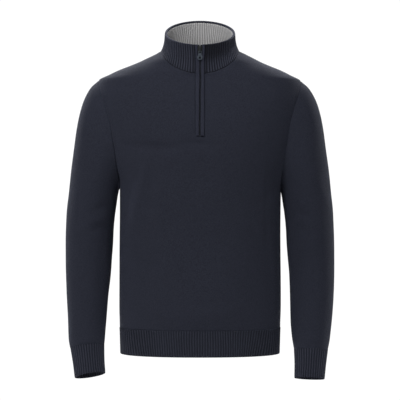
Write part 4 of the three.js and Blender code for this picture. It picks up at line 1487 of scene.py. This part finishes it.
@dataclass
class HemBand:
    """The ribbed band below a panel."""

    face: Face
    torso: Torso
    cloth: RibCloth = field(default_factory=RibCloth)
    pitch: float = 5.6
    rows: int = 18
    seam_gap: float = 0.3
    # Ribs stand further apart where the band turns away, up to this many times the pitch
    side_stretch: float = 1.32
    least_facing: float = 0.1
    outline_steps: int = 721
    # The ribs' small sway along the band, and the inward slant of those near its ends
    sway: float = 1.3
    sway_length: float = 31
    sway_drift: float = 55
    sway_waves: float = 2.8
    slant: float = 9.0
    slant_place: float = 0.6
    slant_reach: float = 50.0
    end_hold: int = 6
    # How the ribs look in the middle and towards the ends: sharpness and depth of their painted valley
    # shade
    beside: Pair = (0.3, 0.6)
    sharpness: Pair = (1.1, 1.6)
    shading: Pair = (0.75, 0.95)
    edge_thickness: float = 0.6
    edge_reach: float = 0.07
    lift: float = 0.25
    lift_from: float = 0.9
    cut: Cut = Cut(0.484, 0.057, 0.0275)

    def counted(self) -> tuple[Array, Array, Array]:
        """Counts the ribs along the seam with the panel.

        Returns:
            Turns from the centre to the side, the length run at each, and the places of the
            columns from one end of the band to the other.
        """
        turns = np.linspace(0, 90, self.outline_steps)
        outline = self.torso.point(turns, np.full_like(turns, self.torso.hem_seam))
        run = run_along(outline)
        facing = np.maximum(np.gradient(outline[:, 0], run), self.least_facing)
        pitch = self.pitch * np.minimum(1 / facing, self.side_stretch)
        ribs = np.concatenate([[0], np.cumsum(np.diff(run) / pitch[1:])])
        columns = round(ribs[-1]) * self.cloth.steps_per_rib
        half = np.interp(np.linspace(0, ribs[-1], columns + 1), ribs, run)
        return turns, run, np.concatenate([-half[:0:-1], half])

    def swayed(self, places: Array, up: Array, end: float) -> Array:
        """Lets the ribs sway and slant.

        Args:
            places: places along the band, from its centre.
            up: shares of the way up the band.
            end: the place of its ends.

        Returns:
            The moved places.
        """
        waves = np.sin(self.sway_waves * up + places / self.sway_drift)
        sway = self.sway * np.sin(places / self.sway_length) * waves
        middle = self.slant_place * end
        inward = bell(places + middle, self.slant_reach) - bell(places - middle, self.slant_reach)
        sway += self.slant * (1 - up) * inward
        return places + sway * (1 - np.abs(places / end) ** self.end_hold)

    def build(self) -> Piece:
        """Builds and dresses the band.

        Returns:
            The new piece.
        """
        torso = self.torso
        fine, run, along = self.counted()
        z = np.linspace(torso.hem_edge, torso.hem_seam - self.seam_gap, self.rows)
        places, heights = np.meshgrid(along, z)
        up = (heights - torso.hem_edge) / (torso.hem_seam - torso.hem_edge)
        lengths = np.stack([places, heights], axis=-1)
        places = self.swayed(places, up, run[-1])
        turns = np.interp(np.abs(places), run, fine)
        if self.face is Face.BACK:
            turns = 180 - turns
        points = torso.point(turns, heights)
        points[..., 0] *= np.where(places < 0, -1, 1)
        points[..., 1] += self.face.value * self.seam_gap / 2
        phase = np.arange(len(along)) / self.cloth.steps_per_rib
        wave = self.cloth.wave(phase) + np.zeros_like(turns)
        beside = soft_step(np.abs(along) / run[-1], *self.beside)
        # Painted shade in the valleys, deeper and wider towards the ends
        shown = 1 - (1 - wave ** mix(*self.sharpness, beside)) * mix(*self.shading, beside)
        edge = mix(self.edge_thickness, 1, soft_step(up, 0, self.edge_reach))
        rise = self.cloth.bulge(wave) * edge + self.lift * soft_step(up, self.lift_from, 1)
        grid = ClothGrid(points, lengths, rib=shown).pushed(rise).tucked(True)
        piece = walled(grid.mesh(f"{self.face.word}_hem"), self.cloth.wall)
        return entered(piece, HEM_RIB, f"hem_rib_{self.face.word}", self.cut)


@dataclass(frozen=True)
class CollarForm:
    """The stand collar's face, from the neckline up to its rim."""

    torso: Torso
    rim_half: float = 78.5
    rim_middle_y: float = -10
    rim_depth: float = 70
    rim_middle_z: float = 47.5
    rise_to_back: float = 33.5
    front_flare: float = 1.1
    side_flare: float = 2.8
    flare_angles: Pair = (6, 26)
    slit_half_at_rim: float = 11.3
    seam_gap: float = 0.3
    gap_angle: float = 10
    gap_rise: float = 0.03
    # Steps by which the normals are found, and the zone at the back centre that faces straight back
    probe_angle: float = 3
    probe_rise: float = 0.1
    back_zone: float = 4
    ribs: int = 84

    def rim(self, angle: Array) -> Array:
        """Points of the rim.

        Args:
            angle: neck angles, in degrees from 0 in front to 180 behind.

        Returns:
            The points, in millimetres.
        """
        turn = np.radians(angle)
        return stack(
            self.rim_half * np.sin(turn),
            self.rim_middle_y - self.rim_depth * np.cos(turn),
            self.rim_middle_z - self.rise_to_back * np.cos(turn),
        )

    def seam(self, angle: Array) -> Array:
        """Points of the neckline, a seam gap apart where the panels part at the shoulders.

        Args:
            angle: neck angles, in degrees from 0 in front to 180 behind.

        Returns:
            The points, in millimetres.
        """
        turn, z = self.torso.neckline(angle)
        points = self.torso.point(turn, z)
        from_side = np.abs(90 - np.asarray(angle)) / self.gap_angle
        sign = np.where(np.asarray(angle) > 90, 1, -1)
        points[..., 1] += sign * self.seam_gap / 2 * np.minimum(from_side, 1)
        return points

    def face(self, angle: Array, rise: Array) -> Array:
        """Points of the outer face.

        Args:
            angle: neck angles, in degrees from 0 in front to 180 behind.
            rise: 0 at the neckline and 1 at the rim.

        Returns:
            The points, in millimetres.
        """
        base = self.seam(angle)
        rim = self.rim(angle)
        power = mix(self.front_flare, self.side_flare, soft_step(angle, *self.flare_angles))
        inward = 1 - np.clip(1 - rise, 0, 1) ** power
        share = np.stack([inward, inward, rise], axis=-1)
        return base + (rim - base) * share

    def normal(self, angle: Array, rise: Array) -> Array:
        """Unit normals that point out of the collar.

        Args:
            angle: neck angles, in degrees from 0 in front to 180 behind.
            rise: 0 at the neckline and 1 at the rim.

        Returns:
            The normals.
        """
        low = np.clip(rise - self.probe_rise / 2, 0, 1 - self.probe_rise)
        after = self.face(np.minimum(angle + self.probe_angle, 180), rise)
        around = after - self.face(np.maximum(angle - self.probe_angle, 0), rise)
        behind = (angle > 180 - self.back_zone)[..., None]
        around = np.where(behind, np.array([-1.0, 0, 0]), around)
        up = self.face(angle, low + self.probe_rise) - self.face(angle, low)
        return unit(np.cross(around, up))

    def angle(self, share: Array, rise: Array) -> Array:
        """Neck angles of places on the collar.

        Args:
            share: places round the collar, from -1 at one zip edge, round the back, to 1.
            rise: 0 at the neckline and 1 at the rim.

        Returns:
            The neck angles, in degrees.
        """
        edge = mix(self.torso.slit_half, self.slit_half_at_rim, np.clip(2 * rise - 1, 0, 1))
        half = mix(self.torso.neck_half, self.rim_half, np.clip(rise, 0, 1))
        first = np.degrees(np.arcsin(edge / half))
        return 180 - np.abs(share) * (180 - first)

    def height(self, share: Array) -> Array:
        """The collar's height at each place round it.

        Args:
            share: places round the collar, from -1 at one zip edge, round the back, to 1.

        Returns:
            The heights, in millimetres.
        """
        angle = self.angle(share, np.full_like(share, 0.5))
        rise = np.ones_like(share)
        return np.linalg.norm(self.face(angle, rise) - self.face(angle, 0 * rise), axis=-1)

    def place(self, share: Array, rise: Array, depth: Array) -> Array:
        """Points in the collar's wall.

        Args:
            share: places round the collar, from -1 at one zip edge, round the back, to 1.
            rise: 0 at the neckline and 1 at the rim.
            depth: depth in from the outer face, in millimetres.

        Returns:
            The points, in millimetres.
        """
        angle = self.angle(share, rise)
        points = self.face(angle, rise) - self.normal(angle, rise) * depth[..., None]
        up = unit(self.face(angle, np.ones_like(rise)) - self.face(angle, np.zeros_like(rise)))
        points += up * (self.seam_gap * (1 - soft_step(rise, 0, self.gap_rise)))[..., None]
        points[..., 0] *= np.where(share < 0, -1, 1)
        return points


@dataclass
class Collar:
    """The ribbed stand collar: a navy wall with a rolled rim, and a grey wall inside it."""

    form: CollarForm
    cloth: RibCloth = field(default_factory=RibCloth)
    wall: float = 2.3
    roll: float = 2.6
    roll_height: float = 5.2
    layer_gap: float = 0.7
    inner_wall: float = 1.6
    inner_rise: float = 0.8
    rows: int = 20
    roll_steps: int = 9
    inside_rows: int = 8
    # The allowance that hides below the seam, and the lip of the roll inside the collar
    hidden_depth: float = 1.1
    hidden_drop: float = 1.2
    lip_depth: float = 4.7
    # How much of their height the ribs have at the foot, at the top and on the roll, and the painted shade
    # on the roll
    foot_height: float = 0.45
    foot_reach: float = 0.08
    top_thinner: float = 0.5
    top_from: float = 0.85
    roll_bulge: float = 0.25
    roll_shade: float = 0.65
    roll_ribs: float = 0.2
    # The wall sinks beside the zip bands, more on the left, and painted shade darkens it there, also more
    # on the left
    sunk_left: float = 1.8
    sunk_right: float = 0.6
    sunk_reach: float = 3.6
    sunk_rise: Pair = (0.25, 0.55)
    sunk_painted_shade: float = 0.9
    rim_from: float = 0.9
    shade_left: float = 0.8
    shade_right: float = 0.15
    shade_reach: float = 78
    shade_rise: Pair = (0.25, 0.7)
    edge_shade_reach: float = 4.5
    # Painted shade at the foot of the wall, by the neckline seam
    seam_shade: float = 0.2
    seam_rise: Pair = (0.01, 0.06)
    # Sway of the ribs, as a share of half the way round, with its waves round and up
    sway: float = 0.004
    sway_round: float = 19
    sway_up: float = 2.4
    sway_turn: float = 3
    # The grey wall: its gap below the roll, and the lean and sway of its ribs
    rim_gap: float = 0.1
    inner_lean: float = 0.034
    lean_round: float = 4.5
    lean_middle: float = 0.6
    inner_sway: float = 0.004
    inner_sway_round: float = 23
    # Power that keeps the ribs at the zip's edges upright, and the walls' rib pitches
    end_hold: int = 8
    outer_pitch: float = 5.7
    inner_pitch: float = 5.3
    outer_cut: Cut = Cut(0.479, 0.068, 0.0293)
    inner_cut: Cut = Cut(0.445, 0.0624, 0.0256)

    def shares(self) -> tuple[Array, Array]:
        """Places round the collar, with the height of a rib at each.

        Returns:
            The places, from -1 to 1, and the heights, from 0 in a valley to 1 on a crest.
        """
        count = self.form.ribs * self.cloth.steps_per_rib
        phase = np.arange(count + 1) / self.cloth.steps_per_rib
        return np.linspace(-1, 1, count + 1), self.cloth.wave(phase)

    def section(self, wave: Array, height: Array) -> tuple[Array, Array, Array]:
        """The navy wall's closed section at each place round the collar.

        Args:
            wave: height of a rib at each place.
            height: the collar's height there, in millimetres.

        Returns:
            Depth in from the face, rise and rib shade of each point of each section.
        """
        bulge = self.cloth.bulge(wave)
        flat = np.ones_like(wave)
        rows = [(self.hidden_depth * flat, -self.hidden_drop / height, wave)]
        for up in np.linspace(0, 1, self.rows):
            foot = mix(self.foot_height, 1, soft_step(up, 0, self.foot_reach))
            thin = 1 - self.top_thinner * soft_step(up, self.top_from, 1)
            rows.append((-bulge * foot * thin, (1 - self.roll / height) * up, wave))
        radius = self.roll + self.roll_bulge * bulge
        for turn in np.linspace(math.pi, 0, self.roll_steps + 1)[1:]:
            rise = 1 + (radius * np.sin(turn) - self.roll) / height
            # Painted shade on the rolled rim: its rib attribute stays darker than the wall's crests
            shade = self.roll_shade + self.roll_ribs * wave
            rows.append((self.roll + radius * np.cos(turn), rise, shade))
        top = 1 - self.roll_height / height
        rows.append((self.lip_depth * flat, top, wave))
        rows += [(self.wall * flat, top * down, wave) for down in np.linspace(1, 0, self.inside_rows)]
        rows.append(rows[0])
        return tuple(np.stack(column, axis=1) for column in zip(*rows))

    def outer(self) -> Piece:
        """The navy wall, as one closed section that rolls over at the rim.

        Returns:
            The new piece.
        """
        share, wave = self.shares()
        height = self.form.height(share)
        depth, rise, rib = self.section(wave, height)
        span = self.form.ribs * self.outer_pitch / 2
        from_end = (1 - np.abs(share)) * span
        near_end = bell(from_end, self.sunk_reach)
        left = share > 0
        # Painted shade over the fronts beside the zip bands, wide and darker on the left, with a narrow
        # dark edge at the left band
        shaded = np.where(left, self.shade_left, self.shade_right) * bell(from_end, self.shade_reach)
        shaded = np.maximum(shaded, left * bell(from_end, self.edge_shade_reach))
        sunk = np.where(left, self.sunk_left, self.sunk_right) * near_end
        outside = np.arange(depth.shape[1]) <= self.rows
        below_rim = 1 - soft_step(rise, self.rim_from, 1)
        depth += sunk[:, None] * soft_step(rise, *self.sunk_rise) * below_rim * outside
        waves = np.sin(self.sway_up * rise + self.sway_turn * share[:, None])
        sway = self.sway * np.sin(self.sway_round * share)[:, None] * waves
        shares = share[:, None] + sway * (1 - share**self.end_hold)[:, None]
        points = self.form.place(shares, rise, depth)
        lengths = np.stack([shares * span, rise * height[:, None]], axis=-1)
        # Painted shade beside the bands: the rib attribute falls towards the valley colour
        rib = rib * (1 - self.sunk_painted_shade * near_end)[:, None]
        # Painted shade at the foot, by the neckline seam
        rib = mix(self.seam_shade, rib, soft_step(rise, *self.seam_rise))
        # Painted shade over the fronts beside the bands
        rib *= 1 - shaded[:, None] * soft_step(rise, *self.shade_rise)
        piece = ClothGrid(points, lengths, wrap=True, rib=rib).mesh("collar_wall", close_ends=True)
        return entered(piece, COLLAR_RIB, "collar_outer", self.outer_cut)

    def inner(self) -> Piece:
        """The grey wall, ribbed towards the neck.

        Returns:
            The new piece.
        """
        share, wave = self.shares()
        height = self.form.height(share)
        top = 1 - (self.roll_height + self.rim_gap) / height
        up = np.linspace(0, 1, self.rows)
        rise = top[:, None] * up
        depth = self.wall + self.layer_gap + self.inner_wall + self.inner_rise * wave
        lean = self.inner_sway * np.sin(self.inner_sway_round * share)
        lean -= self.inner_lean * np.sin(self.lean_round * share)
        lean *= 1 - share**self.end_hold
        shares = share[:, None] + lean[:, None] * (up - self.lean_middle)
        points = self.form.place(shares, rise, depth[:, None] + np.zeros_like(rise))
        span = self.form.ribs * self.inner_pitch / 2
        lengths = np.stack([shares * span, rise * height[:, None]], axis=-1)
        rib = np.repeat(wave[None], self.rows, axis=0)
        grid = ClothGrid(points.transpose(1, 0, 2), lengths.transpose(1, 0, 2), inward=True, rib=rib)
        piece = walled(grid.mesh("collar_inside"), self.inner_wall)
        return entered(piece, GREY_RIB, "collar_inner", self.inner_cut)


@dataclass
class Zip:
    """The quarter zip: two knit bands, their tapes, the teeth, the slider and its pull tab."""

    torso: Torso
    form: CollarForm
    top: float = 13.4
    bottom: float = -189
    band_inner: float = 1.7
    band_outer: float = 9.5
    band_front: float = 1.8
    band_back: float = -0.9
    inner_at_slider: float = 5.2
    outer_at_rim: float = 11
    parts_from: float = -22
    parts_to: float = -5
    tape_inner: float = 3.2
    tape_at_top: float = 0.9
    tape_outer: float = 8.9
    tape_front: float = -1.2
    tape_back: float = -2.2
    chain_half: float = 2.9
    chain_top: float = 5
    closes_over: float = 4
    tooth_pitch: float = 2.5
    tooth_size: Triple = (3.6, 1.1, 0.95)
    tooth_aside: float = 0.75
    tooth_depth: float = -1.75
    tooth_edge: float = 0.22
    first_tooth: float = 0.8
    core_front: float = -1.9
    core_back: float = -2.7
    # Squareness of a section and number of its points, and rows up the zip
    band_section: Pair = (3.2, 28)
    tape_section: Pair = (8, 20)
    core_section: Pair = (6, 16)
    band_rows: int = 120
    tape_rows: int = 60
    # Where the closed teeth stray from the centre line: how far, at what height and over what reach
    bends: Table = ((1.0, -62, 28), (-0.5, -165, 30))
    line_below: float = 4
    line_knots: int = 4
    slope_step: float = 2.0
    flat_angle: float = 2
    sharp_angle: float = 50
    slider_edge: float = 0.3
    pull_edge: float = 0.25
    band_cut: Cut = Cut(0.01, 0.2025, 0.0018)
    tape_cut: Cut = Cut(0.01, 0.2025, 0.00135)

    @cached_property
    def line(self) -> Curve:
        """The zip's y as a curve of its height, on the cloth's outer face.

        Returns:
            The curve.
        """
        front = self.torso.columns[1]
        below = self.bottom - self.line_below
        heights = [below, *np.linspace(self.bottom, self.torso.neck_front, self.line_knots)]
        rim = self.form.rim(np.array(0.0))
        ys = [-float(front(z)) for z in heights] + [rim[1]]
        return Curve([*heights, rim[2]], ys)

    def wander(self, z: Array | float) -> Array:
        """How far the closed teeth stray from the centre line, in millimetres."""
        return sum(offset * bell(z - middle, reach) for offset, middle, reach in self.bends)

    def slope(self, z: Array | float) -> Array:
        """How far the zip's y changes for each millimetre up."""
        step = self.slope_step
        return (self.line(z + step) - self.line(z - step)) / (2 * step)

    def place(self, x: Array | float, z: Array, depth: Array | float) -> Array:
        """Points beside the zip.

        Args:
            x: distances from the centre plane.
            z: heights.
            depth: distances out of the cloth's face.

        Returns:
            The points, in millimetres.
        """
        out = unit(stack(np.zeros_like(z), -np.ones_like(z), self.slope(z)))
        base = stack(np.zeros_like(z), self.line(z), z)
        points = base + out * np.asarray(depth, float)[..., None]
        points[..., 0] = x
        return points

    def swept(self, name: str, profile: Array, heights: Array) -> Piece:
        """A closed profile carried up the zip, capped at both ends.

        Args:
            name: the piece's name.
            profile: for each height, points of x and depth in millimetres, closed on themselves.
            heights: the heights, rising.

        Returns:
            The new piece.
        """
        z = np.repeat(heights[:, None], profile.shape[1], axis=1)
        points = self.place(profile[..., 0], z, profile[..., 1])
        lengths = np.stack([run_along(profile, 1), z], axis=-1)
        return ClothGrid(points, lengths, wrap=True).mesh(name, close_ends=True)

    @staticmethod
    def rounded(inner: Array, outer: Array, low: float, high: float, section: Pair) -> Array:
        """A closed, rounded section between two sides, for each height.

        Args:
            inner: x of the inner side.
            outer: x of the outer side.
            low: depth of the back.
            high: depth of the front.
            section: its squareness and its number of points.

        Returns:
            Points of x and depth for each height, closed on themselves.
        """
        power, count = section
        turn = np.linspace(0, 2 * math.pi, count + 1)
        middle = (inner + outer) / 2
        half = (outer - inner) / 2
        x = middle[:, None] + half[:, None] * squared(np.cos(turn), power)
        depth = (low + high) / 2 + (high - low) / 2 * squared(np.sin(turn), power)
        return np.stack(np.broadcast_arrays(x, depth), axis=-1)

    def band(self, side: Side) -> Piece:
        """The raised knit band on one side of the zip.

        Args:
            side: the wearer's side.

        Returns:
            The new piece.
        """
        heights = np.linspace(self.bottom, self.top, self.band_rows)
        parted = soft_step(heights, self.parts_from, self.parts_to)
        inner = mix(self.band_inner, self.inner_at_slider, parted)
        inner += side.value * self.wander(heights)
        middle = (self.torso.neck_front + self.top) / 2
        above = np.clip((heights - middle) / (self.top - middle), 0, 1)
        outer = mix(self.band_outer, self.outer_at_rim, above)
        profile = self.rounded(inner, outer, self.band_back, self.band_front, self.band_section)
        profile[..., 0] *= side.value
        piece = self.swept(f"{side.word}_zip_band", profile, heights)
        return entered(piece, BAND_KNIT, f"placket_{side.word}", self.band_cut)

    def tape(self, side: Side) -> Piece:
        """The woven tape behind a band.

        Args:
            side: the wearer's side.

        Returns:
            The new piece.
        """
        heights = np.linspace(self.bottom, self.top, self.tape_rows)
        closing = soft_step(heights, self.chain_top - self.closes_over, self.chain_top + self.closes_over)
        inner = mix(self.tape_inner, self.tape_at_top, closing)
        outer = np.full_like(heights, self.tape_outer)
        profile = self.rounded(inner, outer, self.tape_back, self.tape_front, self.tape_section)
        profile[..., 0] *= side.value
        piece = self.swept(f"{side.word}_zip_tape", profile, heights)
        return entered(piece, TAPE_WEAVE, f"zip_tape_{side.word}", self.tape_cut)

    def core(self) -> Piece:
        """The woven core that carries the teeth.

        Returns:
            The new piece.
        """
        heights = np.linspace(self.bottom, self.chain_top, self.tape_rows)
        stray = self.wander(heights)
        profile = self.rounded(stray - self.chain_half, stray + self.chain_half, self.core_back,
                               self.core_front, self.core_section)
        return entered(self.swept("zip_core", profile, heights), TAPE_WEAVE, "zip_chain")

    def teeth(self) -> Piece:
        """The closed teeth, each a rounded block that reaches past the centre line.

        Returns:
            The new piece.
        """
        bm = bmesh.new()
        step = self.tooth_pitch / 2
        size = Matrix.Diagonal((*(length * MM for length in self.tooth_size), 1))
        for k in range(int((self.chain_top - self.bottom) / step) - 1):
            aside = self.tooth_aside if k % 2 == 0 else -self.tooth_aside
            z = self.bottom + (k + self.first_tooth) * step
            centre = self.place(aside + self.wander(z), np.array(z), self.tooth_depth)
            turn = Matrix.Rotation(math.atan(-self.slope(z)), 4, "X")
            place = Matrix.Translation(Vector(centre) * MM) @ turn @ size
            bmesh.ops.create_cube(bm, size=1, matrix=place)
        bmesh.ops.bevel(bm, geom=bm.edges[:], offset=self.tooth_edge * MM, offset_type="OFFSET",
                        segments=1, profile=0.5, affect="EDGES", material=-1)
        return entered(finished(bm, "zip_teeth"), TEETH)

    def eased(self, node: str, name: str, body: str, radius: float, finish: MetalFinish) -> Piece:
        """A fitting's own solid with its edges rounded.

        Args:
            node: the solid in the frame.
            name: the new piece's name.
            body: the body that it rides on.
            radius: the rounding, in millimetres.
            finish: the metal it is made of.

        Returns:
            The new piece, which stands for the node.
        """
        bm = bmesh.new()
        bm.from_mesh(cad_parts[node].data)
        bmesh.ops.remove_doubles(bm, verts=bm.verts, dist=DOUBLES)
        flat = math.radians(self.flat_angle)
        bmesh.ops.dissolve_limit(bm, angle_limit=flat, verts=bm.verts, edges=bm.edges)
        least = math.radians(self.sharp_angle)
        sharp = [edge for edge in bm.edges if edge.is_manifold and edge.calc_face_angle() > least]
        bmesh.ops.bevel(bm, geom=sharp, offset=radius * MM, offset_type="OFFSET", segments=2,
                        profile=0.5, affect="EDGES", material=-1, clamp_overlap=True)
        return entered(finished(bm, name), finish, node, body=body)

    def build(self) -> list[Piece]:
        """Builds every piece of the zip.

        Returns:
            The new pieces.
        """
        pieces = []
        for side in Side:
            pieces += [self.band(side), self.tape(side)]
        pieces += [self.core(), self.teeth()]
        pieces.append(self.eased("zip_slider", "zip_slider_body", GARMENT, self.slider_edge, SLIDER_METAL))
        pieces.append(self.eased("zip_pull", "zip_pull_tab", PULL_BODY, self.pull_edge, PULL_METAL))
        return pieces


@dataclass(frozen=True)
class Lamp:
    """A soft rectangular lamp: its place, the point it faces, its size and its power."""

    name: str
    place: Triple
    target: Triple
    size: Pair
    power: float

    def build(self) -> None:
        """Puts the lamp in the studio."""
        data = bpy.data.lights.new(self.name, "AREA")
        data.shape = "RECTANGLE"
        data.size, data.size_y = self.size
        data.energy = self.power
        lamp = bpy.data.objects.new(self.name, data)
        lamp.location = self.place
        aim = Vector(self.target) - Vector(self.place)
        lamp.rotation_euler = aim.to_track_quat("-Z", "Y").to_euler()
        bpy.context.scene.collection.objects.link(lamp)


LAMPS: tuple[Lamp, ...] = (
    Lamp("back_left_softbox", (-1.0, 1.4, 1.35), (-0.1, 0, -0.05), (0.8, 0.6), 84),
    Lamp("back_right_softbox", (1.0, 1.4, 1.35), (0.1, 0, -0.05), (0.8, 0.6), 66),
    Lamp("key_softbox", (-0.75, -1.8, 1.6), (0, 0, -0.2), (0.8, 0.8), 64),
    Lamp("collar_softbox", (-1.5, -0.7, 1.5), (0.05, 0, 0.03), (0.3, 0.3), 12),
    Lamp("right_fill", (1.5, -2.0, 1.4), (0, 0, -0.2), (1.0, 1.0), 21),
    Lamp("left_strip", (-1.9, 1.7, -0.2), (0, 0, -0.35), (0.6, 1.8), 14),
    Lamp("right_strip", (2.1, 1.3, -0.2), (0, 0, -0.35), (0.6, 1.8), 27),
)


@dataclass
class Studio:
    """The pale floor, the soft lights and the camera."""

    distance: float = 3.6
    eye_height: float = -0.3276
    view_width: float = 0.8976
    sensor: float = 36.0
    floor_z: float = -0.95
    floor_radius: float = 1.25
    floor_sides: int = 96
    floor_grey: float = 0.85
    floor_roughness: float = 0.8
    sky_seen: float = 1.05
    sky_light: float = 0.08

    def floor(self) -> None:
        """A plain pale floor under the garment, out of the camera's frame."""
        bm = bmesh.new()
        bmesh.ops.create_circle(bm, cap_ends=True, segments=self.floor_sides, radius=self.floor_radius)
        bmesh.ops.translate(bm, verts=bm.verts, vec=(0, 0, self.floor_z))
        piece = finished(bm, "studio_floor")
        material = bpy.data.materials.new("pale_floor")
        material.use_nodes = True
        shader = material.node_tree.nodes["Principled BSDF"]
        shader.inputs["Base Color"].default_value = (*[self.floor_grey] * 3, 1)
        shader.inputs["Roughness"].default_value = self.floor_roughness
        piece.data.materials.append(material)

    def sky(self) -> None:
        """A white surround for the camera, with its own strength as light on the garment."""
        world = bpy.data.worlds.new("studio")
        bpy.context.scene.world = world
        world.use_nodes = True
        nodes = NodeSet(world.node_tree)
        world.node_tree.nodes.clear()
        paths = nodes.add("ShaderNodeLightPath")
        mixer = nodes.add("ShaderNodeMixShader")
        out = nodes.add("ShaderNodeOutputWorld")
        nodes.link(paths.outputs["Is Camera Ray"], mixer.inputs[0])
        for index, strength in ((1, self.sky_light), (2, self.sky_seen)):
            sky = nodes.add("ShaderNodeBackground")
            sky.inputs["Color"].default_value = (1, 1, 1, 1)
            sky.inputs["Strength"].default_value = strength
            nodes.link(sky.outputs[0], mixer.inputs[index])
        nodes.link(mixer.outputs[0], out.inputs[0])

    def camera(self) -> None:
        """The camera at the photograph's angle: level, straight in front."""
        data = bpy.data.cameras.new("camera")
        data.sensor_width = self.sensor
        data.lens = self.sensor * self.distance / self.view_width
        data.dof.use_dof = False
        camera = bpy.data.objects.new("camera", data)
        camera.location = (0, -self.distance, self.eye_height)
        camera.rotation_euler = (math.pi / 2, 0, 0)
        bpy.context.scene.collection.objects.link(camera)
        bpy.context.scene.camera = camera

    def build(self) -> None:
        """Builds the studio."""
        self.camera()
        self.floor()
        self.sky()
        for lamp in LAMPS:
            lamp.build()
        bpy.context.scene.view_settings.view_transform = "Standard"


def report(pieces: list[Piece]) -> None:
    """Logs the name and the face count of each piece."""
    for piece in pieces:
        LOG.info("%s: %d faces", piece.name, len(piece.data.polygons))


def main() -> None:
    """Builds the sweater and its studio, piece by piece."""
    logging.basicConfig(level=logging.INFO, format="%(message)s")
    torso = Torso()
    arm = ArmForm()
    lay = Lay()
    form = CollarForm(torso)
    Studio().build()
    for face in Face:
        report([Panel(face, torso, lay).build(), HemBand(face, torso).build()])
    for side in Side:
        report([Sleeve(side, torso, arm, lay).build(), Cuff(side, arm).build()])
    collar = Collar(form)
    report([collar.outer(), collar.inner()])
    report(Zip(torso, form).build())


if __name__ == "__main__":
    main()
